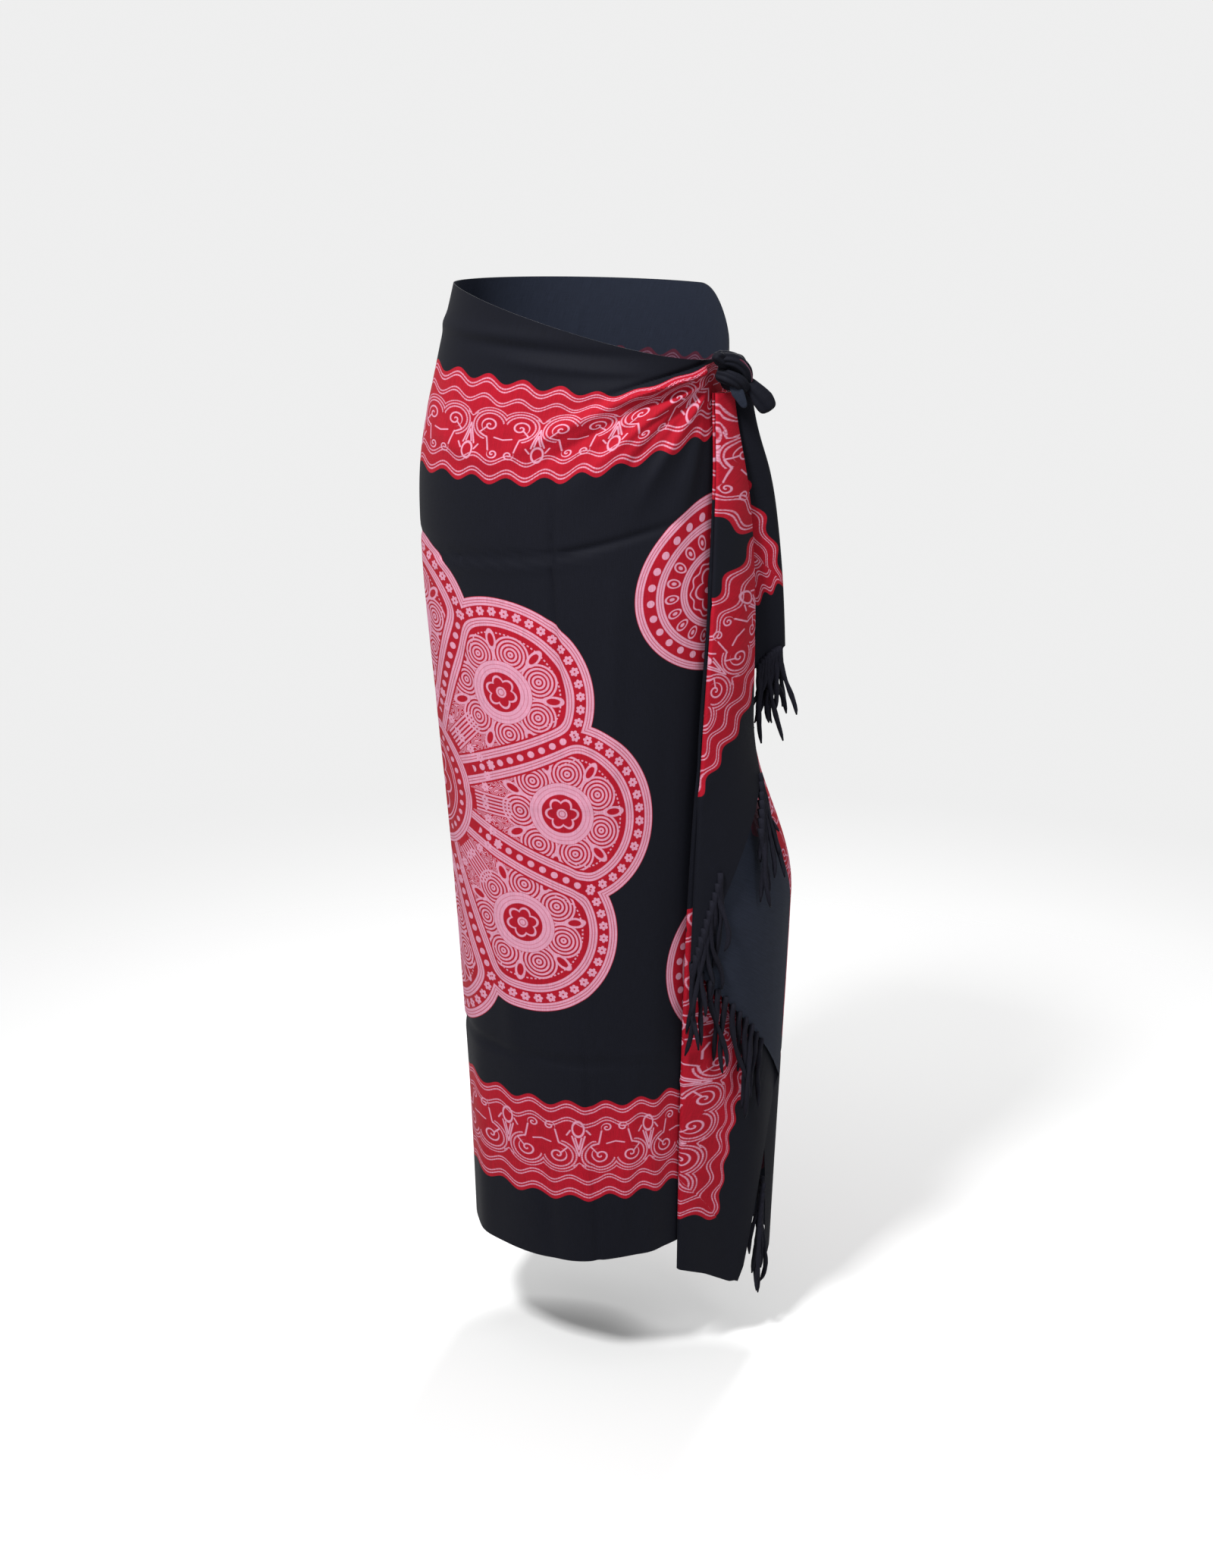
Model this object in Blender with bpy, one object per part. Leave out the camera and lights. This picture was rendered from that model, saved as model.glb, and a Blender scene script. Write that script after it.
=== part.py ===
"""Sarong: one rectangular cloth wrapped round the hips and tied in a knot at the wearer's left hip.

Metres, +Z up. The origin is the middle of the waist opening, the wearer faces -Y and the wearer's left
is +X. A place on the cloth as cut is (s, t): s along the length from the middle, t down from the top edge.
"""
import math

import bpy
import numpy as np

# The cloth as cut
CLOTH_LENGTH = 1.80
CLOTH_HEIGHT = 1.10
GATHER_S = 0.585        # how far from the middle the length is gathered into the knot
GATHER_T = 0.070        # how far below the top edge
WALL = 0.0014
SEAM_GAP = 0.0003

# The general figure that the cloth goes round
# columns: drop below the waist, half width, half depth, shift to the wearer's right
FIGURE = (
    (0.00, 0.160, 0.115, 0.000),
    (0.08, 0.172, 0.122, 0.011),
    (0.20, 0.190, 0.132, 0.020),
    (0.30, 0.190, 0.135, 0.019),
    (0.45, 0.178, 0.134, 0.014),
    (0.65, 0.163, 0.128, 0.008),
    (0.85, 0.152, 0.125, 0.004),
    (1.20, 0.141, 0.122, 0.000),
)
MIDDLE_TURN = math.radians(-62.0)   # where the cloth's middle lies: 0 is the front, 90 degrees the left hip
KNOT_TURN = math.radians(90.0)
KNOT_Z = -0.082
SIDE_SEAM_TURN = math.radians(-150.0)   # where the front stretch of the wrap hands over to the back one

# Waist edge: the part of the height that is rolled in, as the edge runs down to the knot
FRONT_RIM_RAMP = (math.radians(-62.0), math.radians(90.0))
BACK_RIM_RAMP = (math.radians(150.0), math.radians(96.0))

# How far the knot pulls the cloth up beside it
# columns: place down the cloth, lift beside the knot
KNOT_LIFT = (
    (0.00, 0.000),
    (0.07, 0.000),
    (0.20, 0.052),
    (0.33, 0.032),
    (0.60, 0.016),
    (1.10, 0.016),
)
LIFT_RAMP_FRONT = (math.radians(0.0), math.radians(95.0))
LIFT_RAMP_BACK = (math.radians(190.0), math.radians(110.0))

# Folds that run out of the knot over the wrap
# columns: side (-1 front, +1 back), degrees below level, half width in degrees, height, reach
PULL_FOLDS = (
    (-1, 8.0, 5.0, 0.0050, 0.26),
    (-1, 22.0, 6.0, 0.0075, 0.30),
    (-1, 36.0, 6.5, 0.0085, 0.27),
    (-1, 52.0, 6.0, 0.0060, 0.22),
    (-1, 68.0, 6.0, 0.0045, 0.30),
    (1, 10.0, 6.0, 0.0060, 0.24),
    (1, 27.0, 6.5, 0.0080, 0.30),
    (1, 44.0, 7.0, 0.0070, 0.26),
)

FOLD_FULL = 0.12        # distance from the knot where a fold has its full height

# Long shallow folds that hang down the wrap
# columns: turn in degrees, half width in degrees, height at the hem, drop where it starts
HANGING_FOLDS = (
    (-128.0, 9.0, 0.006, 0.35),
    (-92.0, 8.0, 0.005, 0.45),
    (-30.0, 10.0, 0.004, 0.60),
    (28.0, 12.0, 0.004, 0.55),
    (66.0, 8.0, 0.006, 0.50),
    (-165.0, 9.0, 0.007, 0.35),
    (-192.0, 9.0, 0.006, 0.30),
)

# Growth of a tail's spread with the distance from the knot
# columns: distance, share of the spread along the hip, share of the spread away from it
TAIL_GROWTH = (
    (0.00, 0.26, 0.48),
    (0.05, 0.40, 0.50),
    (0.15, 0.74, 0.70),
    (0.35, 1.00, 1.00),
    (1.20, 1.00, 1.00),
)
TAIL_WALL = 0.0012
TAIL_BASE = 0.0017      # what lies under a tail
TAIL_TOP = 0.022        # where a tail comes out of the knot
ROW_CROWDING = 1.25     # rows of a tail lie closer together towards the knot
LOW_FROM = 0.38         # the lower spread takes over between these distances
LOW_TO = 0.62
SLOPE_FULL = 0.12       # distance from the knot where a slanting fold costs its full height
LEAST_FALL = 0.85       # a fold never falls less than this share of its length
SLIT = 0.2              # half the angle of cloth, in degrees, in the turn of a flattened fold

# Folds of the front tail, each a ray from the knot
# columns: ray in degrees, along and away (upper), along and away (lower), rise of the turn, roundness
FRONT_TAIL = (
    (2.0, 0.020, 0.0002, 0.020, 0.0002, 0.0000, 0.004),
    (7.6, -0.022, 0.0025, -0.024, 0.0025, 0.0045, 0.002),
    (14.0, 0.006, 0.0050, 0.016, 0.0240, 0.0000, 0.016),
    (18.0, 0.020, 0.0055, 0.038, 0.0560, 0.0000, 0.016),
    (22.0, 0.033, 0.0085, 0.060, 0.0720, 0.0050, 0.0025),
    (29.0, -0.027, 0.0140, -0.027, 0.0140, 0.0050, 0.0025),
    (37.0, 0.006, 0.0260, 0.006, 0.0460, 0.0000, 0.018),
    (45.0, 0.040, 0.0285, 0.040, 0.0720, -0.0050, 0.0025),
    (57.0, 0.012, 0.0205, 0.012, 0.0520, -0.0050, 0.002),
    (66.0, 0.048, 0.0195, 0.048, 0.0600, 0.0000, 0.005),
    (88.0, 0.062, 0.0680, 0.062, 0.0880, 0.0000, 0.012),
    (102.0, 0.082, 0.0500, 0.082, 0.0700, 0.0000, 0.004),
)

# Folds of the back tail
BACK_TAIL = (
    (1.0, 0.135, 0.0015, 0.135, 0.0015, 0.0000, 0.004),
    (6.0, 0.114, 0.0190, 0.114, 0.0480, 0.0000, 0.018),
    (13.0, 0.086, 0.0280, 0.080, 0.0850, 0.0000, 0.014),
    (24.0, 0.056, 0.0200, 0.050, 0.0480, -0.0060, 0.003),
    (38.0, 0.104, 0.0100, 0.104, 0.0160, -0.0050, 0.0025),
    (60.0, 0.062, 0.0040, 0.062, 0.0060, 0.0000, 0.004),
)
FRONT_WRAP_TUCK = 0.112     # how far the front stretch runs on under the tails
BACK_WRAP_END = 0.1390      # where the back stretch hands over to the back tail
BACK_WRAP_RISE = 0.0032     # the back stretch rises over the front one to meet its tail
SIDE_SEAM_SHARES = (0.0003, 0.0005)     # what the front and the back stretch leave of the seam gap
SETTLE_STEPS = 14           # rounds in which a place on the wrap finds its height
TUCK_FRONT = (-0.075, -0.036)   # the wrap's folds fade out under the tails
TUCK_BACK = (0.140, 0.170)

# The knot: its middle is off the figure, half sizes along the hip, away from it and up
KNOT_OUT = 0.0205
KNOT_SIZE = (0.0200, 0.0165, 0.0240)
KNOT_BANDS = 0.07
# Ends that stick out of the knot
# columns: name, start and end (along, away, up from the knot's middle), radius at start, at end
KNOT_ENDS = (
    ("knot_end_front", (0.0080, 0.0060, -0.0060), (0.0300, 0.0300, -0.0330), 0.0085, 0.0120),
    ("knot_end_back", (-0.0080, -0.0020, 0.0060), (-0.0290, 0.0000, 0.0230), 0.0080, 0.0090),
)

# Fringe
FRINGE_STEP = 0.0125
FRINGE_FROM = 18.5      # first ray with a strand, past the cloth's corner
STRIP_WIDTH = 0.0030
STRIP_GAP = 0.0007
STRIP_WALL = 0.0010
STRAND_LENGTH = 0.078
STRAND_THICK = 0.0030
STRAND_SPREAD = 0.026   # how far a strand's tip stands out from the edge
STRAND_CLEAR = 0.02     # least share of a column of the strip that is left beside a strand
HIDDEN_RAYS = ((19.2, 24.0), (35.5, 38.0), (45.5, 72.5))     # strands that would lie inside a pleat
STRAND_RINGS = ((0.40, 0.95), (1.00, 0.60))     # share of the length, share of the thickness

COLOURS = {
    "wrap": (0.018, 0.020, 0.032, 1.0),
    "tail": (0.420, 0.030, 0.070, 1.0),
    "knot": (0.014, 0.015, 0.024, 1.0),
    "fringe": (0.010, 0.011, 0.018, 1.0),
}


def smooth_table(x, table, column):
    """Smooth curve through one column of a table, against its first column."""
    xs = np.array([row[0] for row in table])
    ys = np.array([row[column] for row in table])
    slopes = np.gradient(ys, xs)
    x = np.clip(np.asarray(x, dtype=float), xs[0], xs[-1])
    i = np.clip(np.searchsorted(xs, x) - 1, 0, len(xs) - 2)
    h = xs[i + 1] - xs[i]
    u = (x - xs[i]) / h
    rise = u * u * (3.0 - 2.0 * u)
    leave = u * (1.0 - u) ** 2 * h * slopes[i]
    arrive = -u * u * (1.0 - u) * h * slopes[i + 1]
    return ys[i] + (ys[i + 1] - ys[i]) * rise + leave + arrive


def ease(x, start, end):
    """0 before start, 1 after end, smooth between."""
    u = np.clip((np.asarray(x, dtype=float) - start) / (end - start), 0.0, 1.0)
    return u * u * (3.0 - 2.0 * u)


def figure_point(turn, z, off):
    """A point at this turn and height, off the figure's surface by off."""
    half_width = smooth_table(-z, FIGURE, 1)
    half_depth = smooth_table(-z, FIGURE, 2)
    shift = smooth_table(-z, FIGURE, 3)
    nx = half_depth * np.sin(turn)
    ny = -half_width * np.cos(turn)
    size = np.sqrt(nx * nx + ny * ny)
    x = half_width * np.sin(turn) - shift + off * nx / size
    y = -half_depth * np.cos(turn) + off * ny / size
    return np.stack([x, y, z + 0.0 * x], axis=-1)


def figure_arc(turn_from, turn_to, z):
    """Length round the figure between two turns, by Simpson's rule."""
    half_width = smooth_table(-z, FIGURE, 1)
    half_depth = smooth_table(-z, FIGURE, 2)
    steps = 24
    total = 0.0
    for i in range(steps + 1):
        weight = 1.0 if i in (0, steps) else (4.0 if i % 2 else 2.0)
        turn = turn_from + (turn_to - turn_from) * i / steps
        total = total + weight * np.hypot(half_width * np.cos(turn), half_depth * np.sin(turn))
    return total * (turn_to - turn_from) / (3.0 * steps)


def turn_at(along, z):
    """The turn that lies this far along the hip from the knot, towards the back if positive."""
    half_width = smooth_table(-z, FIGURE, 1)
    half_depth = smooth_table(-z, FIGURE, 2)
    turn = KNOT_TURN + along / half_depth
    for _ in range(5):
        speed = np.hypot(half_width * np.cos(turn), half_depth * np.sin(turn))
        turn = turn - (figure_arc(KNOT_TURN, turn, z) - along) / speed
    return turn


def rim_roll(turn):
    """How much of the height is rolled in at the waist edge."""
    front = ease(turn, *FRONT_RIM_RAMP)
    back = 1.0 - ease(turn, BACK_RIM_RAMP[1], BACK_RIM_RAMP[0])
    return GATHER_T * np.where(turn < KNOT_TURN, front, back)


def cloth_height(turn, t):
    """The height above the origin of the wrap's cloth, t down the cloth."""
    front = ease(turn, *LIFT_RAMP_FRONT)
    back = 1.0 - ease(turn, LIFT_RAMP_BACK[1], LIFT_RAMP_BACK[0])
    near = np.where(turn < KNOT_TURN, front, back)
    return -t + near * smooth_table(t, KNOT_LIFT, 1)


def wrap_folds(turn, z):
    """How far the wrap's folds stand off the figure."""
    along = figure_arc(KNOT_TURN, turn, z)
    fall = KNOT_Z - z
    reach = np.hypot(along, fall)
    height = np.zeros_like(reach)
    for side, level, width, size, length in PULL_FOLDS:
        angle = np.degrees(np.arctan2(fall, side * along))
        ridge = np.exp(-(((angle - level) / width) ** 2))
        fade = np.minimum(1.0, reach / FOLD_FULL) * (1.0 - ease(reach, 0.25 * length, length))
        height = height + size * ridge * fade
    spread, _ = tail_growth(np.clip(fall, 0.0, 1.0))
    tuck = 1.0 - ease(along / spread, *TUCK_FRONT) * (1.0 - ease(along / spread, *TUCK_BACK))
    for degrees, width, size, start in HANGING_FOLDS:
        offset = (np.degrees(turn) - degrees) / width
        height = height + size * np.exp(-(offset ** 2)) * ease(-z, start, CLOTH_HEIGHT)
    return height * tuck


def tail_growth(reach):
    """Shares of a tail's spread at this distance from the knot."""
    return smooth_table(reach, TAIL_GROWTH, 1), smooth_table(reach, TAIL_GROWTH, 2)


def hanging_fall(sideways, reach):
    """How far below the knot a point hangs that is this far from it in all."""
    sideways = sideways * ease(reach, TAIL_TOP, SLOPE_FULL)
    return np.sqrt(np.maximum(reach ** 2 - sideways ** 2, (LEAST_FALL * reach) ** 2))


def wrap_end(z, along):
    """The turn where a stretch of the wrap ends, drawn in towards the knot as the tails are."""
    reach = np.linspace(0.0, 1.3, 260)
    spread, _ = tail_growth(reach)
    fall = hanging_fall(along * spread, reach)
    return turn_at(along * np.interp(KNOT_Z - z, fall, spread), z)


def wrap_surface(share, down, stretch):
    """A point of the wrap: share 0..1 round the stretch, down 0..1 from the waist edge to the hem."""
    if stretch == "front":
        start = SIDE_SEAM_TURN
        tuck = FRONT_WRAP_TUCK
    else:
        start = SIDE_SEAM_TURN + 2.0 * math.pi
        tuck = BACK_WRAP_END
    z = -down * CLOTH_HEIGHT
    for _ in range(SETTLE_STEPS):
        turn = start + (wrap_end(z, tuck) - start) * share
        t = rim_roll(turn) + (CLOTH_HEIGHT - rim_roll(turn)) * down
        z = 0.5 * (z + cloth_height(turn, t))
    off = wrap_folds(turn, z)
    if stretch == "back":
        off = off + BACK_WRAP_RISE * ease(share, 0.70, 1.0)
    return figure_point(turn, z, off)


def tail_section(reach, table):
    """Corners of a tail's cross-section at each distance: along, away, ray and roundness."""
    spread_along, spread_away = tail_growth(reach)
    low = ease(reach, LOW_FROM, LOW_TO)
    corners = []
    for ray, along, away, low_along, low_away, rise, roundness in table:
        e = (along + (low_along - along) * low) * spread_along
        o = TAIL_BASE + (away + (low_away - away) * low) * spread_away
        half = 0.5 * rise * spread_away
        if rise == 0.0:
            corners.append((e, o, ray, roundness))
        else:
            corners.append((e, o - half, ray - SLIT, roundness))
            corners.append((e, o + half, ray + SLIT, roundness))
    return corners


def tail_columns(table, runs, bends):
    """Where along the cross-section a tail's columns lie: corner number, place and ray of each."""
    flat = np.zeros(1)
    corners = tail_section(flat, table)
    columns = []
    last = len(corners) - 1
    for i in range(last + 1):
        ray = corners[i][2]
        if 0 < i < last:
            for k in range(bends):
                columns.append((i, "bend", (k + 0.5) / bends, ray))
        else:
            columns.append((i, "point", 0.0, ray))
        if i < last:
            next_ray = corners[i + 1][2]
            count = 0 if next_ray - ray < 2.5 * SLIT else runs
            for k in range(count):
                place = (k + 1.0) / (count + 1.0)
                columns.append((i, "run", place, ray + (next_ray - ray) * place))
    return columns


def tail_across(column, reach, table):
    """Along and away of one column of a tail, for an array of distances from the knot."""
    corners = tail_section(reach, table)
    i, kind, place, _ = column
    here = np.stack(corners[i][:2], axis=-1)
    if kind == "point":
        return here
    if kind == "run":
        there = np.stack(corners[i + 1][:2], axis=-1)
        step = there - here
        size = np.linalg.norm(step, axis=-1, keepdims=True)
        cut_here = fillet(corners, i, size)
        cut_there = fillet(corners, i + 1, size)
        at = cut_here + (size - cut_here - cut_there) * place
        return here + step / size * at
    before = np.stack(corners[i - 1][:2], axis=-1)
    after = np.stack(corners[i + 1][:2], axis=-1)
    back = before - here
    ahead = after - here
    back_size = np.linalg.norm(back, axis=-1, keepdims=True)
    ahead_size = np.linalg.norm(ahead, axis=-1, keepdims=True)
    start = here + back / back_size * fillet(corners, i, back_size)
    end = here + ahead / ahead_size * fillet(corners, i, ahead_size)
    return (1.0 - place) ** 2 * start + 2.0 * place * (1.0 - place) * here + place ** 2 * end


def fillet(corners, i, size):
    """How far a rounded corner reaches along a side of this size."""
    if i in (0, len(corners) - 1):
        return 0.0 * size
    return np.minimum(corners[i][3], 0.48 * size)


def tail_place(across, reach):
    """The point of a tail that hangs this distance from the knot."""
    along = across[..., 0]
    away = across[..., 1]
    z = KNOT_Z - hanging_fall(np.hypot(along, away - KNOT_OUT), reach)
    return figure_point(turn_at(along, z), z, away)


def ray_length(ray):
    """Distance from the gathering point to the cloth's edge along a ray."""
    angle = math.radians(ray)
    to_hem = CLOTH_HEIGHT - GATHER_T
    to_end = 0.5 * CLOTH_LENGTH - GATHER_S
    lengths = []
    if math.cos(angle) > 1e-6:
        lengths.append(to_hem / math.cos(angle))
    if math.sin(angle) > 1e-6:
        lengths.append(to_end / math.sin(angle))
    return min(lengths)


def tail_grid(table, runs, bends, rows):
    """Middle surface of a tail, rows down the rays and columns across the folds."""
    columns = []
    for column in tail_columns(table, runs, bends):
        length = ray_length(column[3])
        share = np.linspace(0.0, 1.0, rows + 1) ** ROW_CROWDING
        reach = TAIL_TOP + (length - TAIL_TOP) * share
        columns.append(tail_place(tail_across(column, reach, table), reach))
    return np.stack(columns, axis=1)


def grid_normals(grid):
    """Normals of a grid of points, on the side that columns cross rows."""
    down = np.gradient(grid, axis=0)
    across = np.gradient(grid, axis=1)
    normals = np.cross(down, across)
    return normals / np.linalg.norm(normals, axis=-1, keepdims=True)


def shell(grid, thickness):
    """Vertices and faces of a closed wall round a grid's middle surface."""
    rows, columns = grid.shape[:2]
    normals = grid_normals(grid)
    outer = grid + normals * 0.5 * thickness
    inner = grid - normals * 0.5 * thickness
    vertices = np.concatenate([outer.reshape(-1, 3), inner.reshape(-1, 3)])
    half = rows * columns

    def index(row, column, side):
        return side * half + row * columns + column

    faces = []
    for row in range(rows - 1):
        for column in range(columns - 1):
            corners = [(row, column), (row + 1, column), (row + 1, column + 1), (row, column + 1)]
            faces.append([index(r, c, 0) for r, c in corners])
            faces.append([index(r, c, 1) for r, c in reversed(corners)])
    edge = [(0, c) for c in range(columns)]
    edge += [(r, columns - 1) for r in range(1, rows)]
    edge += [(rows - 1, c) for c in range(columns - 2, -1, -1)]
    edge += [(r, 0) for r in range(rows - 2, 0, -1)]
    for here, there in zip(edge, edge[1:] + edge[:1]):
        faces.append([index(*here, 0), index(*there, 0), index(*there, 1), index(*here, 1)])
    return vertices, faces


def material(name, colour, roughness):
    """A plain cloth material."""
    made = bpy.data.materials.new(name)
    made.use_nodes = True
    shader = made.node_tree.nodes["Principled BSDF"]
    shader.inputs["Base Color"].default_value = colour
    shader.inputs["Roughness"].default_value = roughness
    shader.inputs["Metallic"].default_value = 0.0
    return made


def add_object(name, vertices, faces, colour):
    """One named piece of the sarong."""
    mesh = bpy.data.meshes.new(name)
    mesh.from_pydata([tuple(v) for v in vertices], [], faces)
    mesh.validate()
    mesh.shade_smooth()
    mesh.materials.append(material(name + "_cloth", colour, 0.75))
    piece = bpy.data.objects.new(name, mesh)
    bpy.context.scene.collection.objects.link(piece)
    return piece


def spaced(stops):
    """Shares between stops, each stop a place and the steps that lead to it."""
    values = [stops[0][0]]
    for (start, _), (end, steps) in zip(stops, stops[1:]):
        values += [start + (end - start) * (k + 1) / steps for k in range(steps)]
    return np.array(values)


def make_wrap(name, stretch, round_stops, down_stops):
    """A stretch of the wrap, from the side seam to the tails."""
    share, down = np.meshgrid(spaced(round_stops), spaced(down_stops))
    grid = wrap_surface(share, down, stretch)
    if stretch == "back":
        grid = grid[:, ::-1]
    vertices, faces = shell(grid, WALL)
    return add_object(name, vertices, faces, COLOURS["wrap"])


def make_tail(name, table, runs, bends, rows, flip):
    """The fan of cloth that hangs from the knot at one end of the sarong."""
    grid = tail_grid(table, runs, bends, rows)
    if flip:
        grid = grid[:, ::-1]
    vertices, faces = shell(grid, TAIL_WALL)
    return add_object(name, vertices, faces, COLOURS["tail"])


def edge_points(grid, index):
    """Points on a grid's lowest row at broken column numbers, and the way on from the cloth there."""
    last = grid.shape[1] - 1
    segments = grid[-1, 1:] - grid[-1, :-1]
    tangents = segments / np.linalg.norm(segments, axis=-1, keepdims=True)
    ahead = grid[-1] - grid[-2]
    j = np.clip(np.floor(index).astype(int), 0, last - 1)
    part = (index - j)[:, None]
    points = grid[-1, j] * (1.0 - part) + grid[-1, j + 1] * part
    onward = ahead[j] * (1.0 - part) + ahead[j + 1] * part
    tangent = tangents[j].copy()
    on_column = (part[:, 0] < 1e-9) & (j > 0)
    tangent[on_column] += tangents[j[on_column] - 1]
    tangent = tangent / np.linalg.norm(tangent, axis=-1, keepdims=True)
    onward = onward - np.sum(onward * tangent, axis=-1, keepdims=True) * tangent
    return points, onward / np.linalg.norm(onward, axis=-1, keepdims=True)


def fringe_columns(rays):
    """Broken column numbers of the strip's columns, and which of them start a strand."""
    places = [(float(j), None) for j, ray in enumerate(rays) if ray > FRINGE_FROM]
    to_end = 0.5 * CLOTH_LENGTH - GATHER_S
    t = CLOTH_HEIGHT - 0.5 * FRINGE_STEP
    while t > 0.0:
        ray = math.degrees(math.atan2(to_end, t - GATHER_T))
        t -= FRINGE_STEP
        j = int(np.searchsorted(rays, ray)) - 1
        if ray < HIDDEN_RAYS[0][0] or j < 0 or j + 1 >= len(rays):
            continue
        if any(low < ray < high for low, high in HIDDEN_RAYS):
            continue
        width = math.degrees(STRAND_THICK * math.sin(math.radians(ray)) ** 2 / to_end)
        gap = rays[j + 1] - rays[j]
        left = (ray - 0.5 * width - rays[j]) / gap
        right = (ray + 0.5 * width - rays[j]) / gap
        if left > STRAND_CLEAR and right < 1.0 - STRAND_CLEAR:
            places.append((j + left, ray))
            places.append((j + right, None))
    places.sort(key=lambda place: place[0])
    return places


def make_fringe(name, table, runs, bends, rows, flip):
    """A strip along the short edge with its strands, as one closed mesh."""
    cloth = tail_grid(table, runs, bends, rows)
    rays = np.array([column[3] for column in tail_columns(table, runs, bends)])
    places = fringe_columns(rays)
    points, onward = edge_points(cloth, np.array([place[0] for place in places]))
    grid = np.stack([points + onward * STRIP_GAP, points + onward * (STRIP_GAP + STRIP_WIDTH)])
    starts = [(k, ray, onward[k]) for k, (_, ray) in enumerate(places) if ray]
    if flip:
        grid = grid[:, ::-1]
        starts = [(len(places) - 2 - k, ray, way) for k, ray, way in starts]
    vertices, faces = shell(grid, STRIP_WALL)
    vertices = list(vertices)
    count = grid.shape[1]
    for k, ray, way in starts:
        root = {count + k, count + k + 1, 3 * count + k, 3 * count + k + 1}
        match = [face for face in faces if set(face) == root][0]
        faces.remove(match)
        add_strand(vertices, faces, match, ray, way, table)
    return add_object(name, vertices, faces, COLOURS["fringe"])


def column_at(ray, table):
    """The column of a tail at a ray that lies between two folds."""
    corners = tail_section(np.zeros(1), table)
    for i in range(len(corners) - 1):
        start = corners[i][2]
        end = corners[i + 1][2]
        if start <= ray <= end:
            return (i, "run", (ray - start) / (end - start), ray)
    return (len(corners) - 2, "run", 0.99, ray)


def add_strand(vertices, faces, root, ray, way, table):
    """A strand that grows out of the strip's face and hangs on along its ray."""
    corners = np.array([vertices[i] for i in root])
    middle = corners.mean(axis=0)
    spokes = corners - middle
    column = column_at(ray, table)
    reach = ray_length(ray) + STRAND_LENGTH * np.array([0.0] + [row[0] for row in STRAND_RINGS])
    path = tail_place(tail_across(column, reach, table), reach)
    spread = STRAND_SPREAD * math.cos(math.radians(ray)) ** 2
    ring = list(root)
    for step, (share, thick) in enumerate(STRAND_RINGS):
        centre = middle + path[step + 1] - path[0] + way * share * spread
        across = spokes[0] + spokes[3]
        across = across / np.linalg.norm(across)
        through = np.cross(across, (0.0, 0.0, 1.0))
        through = through / np.linalg.norm(through)
        size = 0.5 * STRAND_THICK * thick
        placed = []
        for spoke in spokes:
            u = math.copysign(size, float(np.dot(spoke, across)))
            v = math.copysign(size, float(np.dot(spoke, through)))
            placed.append(centre + across * u + through * v)
        first = len(vertices)
        vertices.extend(placed)
        new_ring = [first, first + 1, first + 2, first + 3]
        for a in range(4):
            b = (a + 1) % 4
            faces.append([ring[a], ring[b], new_ring[b], new_ring[a]])
        ring = new_ring
    faces.append(ring)


def knot_frame():
    """Middle of the knot."""
    return figure_point(KNOT_TURN, KNOT_Z, KNOT_OUT)


def ball(rounds, rings):
    """Unit directions of a ball: top pole, rings, bottom pole."""
    directions = [(0.0, 0.0, 1.0)]
    for ring in range(1, rings):
        polar = math.pi * ring / rings
        for k in range(rounds):
            angle = 2.0 * math.pi * k / rounds
            directions.append((math.sin(polar) * math.cos(angle),
                               math.sin(polar) * math.sin(angle), math.cos(polar)))
    directions.append((0.0, 0.0, -1.0))
    faces = []
    for k in range(rounds):
        after = (k + 1) % rounds
        faces.append([0, 1 + k, 1 + after])
        for ring in range(rings - 2):
            a = 1 + ring * rounds
            b = a + rounds
            faces.append([a + k, b + k, b + after, a + after])
        a = 1 + (rings - 2) * rounds
        faces.append([a + k, len(directions) - 1, a + after])
    return np.array(directions), faces


def make_knot(name):
    """The tied bunch with the ends that stick out of it, in one closed solid."""
    directions, faces = ball(20, 12)
    along_half, away_half, up_half = KNOT_SIZE
    band = np.cos(3.0 * directions[:, 1] + 2.2 * directions[:, 2])
    size = 1.0 + KNOT_BANDS * band
    points = np.stack([directions[:, 0] * away_half, directions[:, 1] * along_half,
                       directions[:, 2] * up_half], axis=-1) * size[:, None]
    points[:, 2] = np.maximum(points[:, 2], -(TAIL_TOP - SEAM_GAP - 0.5 * TAIL_WALL))
    knot = add_object(name, points + knot_frame(), faces, COLOURS["knot"])
    for row in KNOT_ENDS:
        end = make_knot_end(*row)
        end.hide_render = True
        end.display_type = "WIRE"
        union = knot.modifiers.new(row[0], "BOOLEAN")
        union.operation = "UNION"
        union.object = end
    return knot


def make_knot_end(name, start, end, start_radius, end_radius):
    """A rolled end of cloth that sticks out of the knot."""
    directions, faces = ball(12, 8)
    along = np.array([0.0, 1.0, 0.0])
    away = np.array([1.0, 0.0, 0.0])
    up = np.array([0.0, 0.0, 1.0])
    first = along * start[0] + away * start[1] + up * start[2]
    last = along * end[0] + away * end[1] + up * end[2]
    axis = (last - first) / np.linalg.norm(last - first)
    side = np.cross(axis, up)
    side = side / np.linalg.norm(side)
    third = np.cross(side, axis)
    points = []
    for x, y, z in directions:
        share = 0.5 * (1.0 - z)
        radius = start_radius + (end_radius - start_radius) * share
        around = (side * x + third * y) * radius
        points.append(first + (last - first) * share + around)
    return add_object(name, np.array(points) + knot_frame(), faces, COLOURS["knot"])


def clear_scene():
    """Start from an empty scene."""
    for existing in list(bpy.data.objects):
        bpy.data.objects.remove(existing, do_unlink=True)


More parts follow.
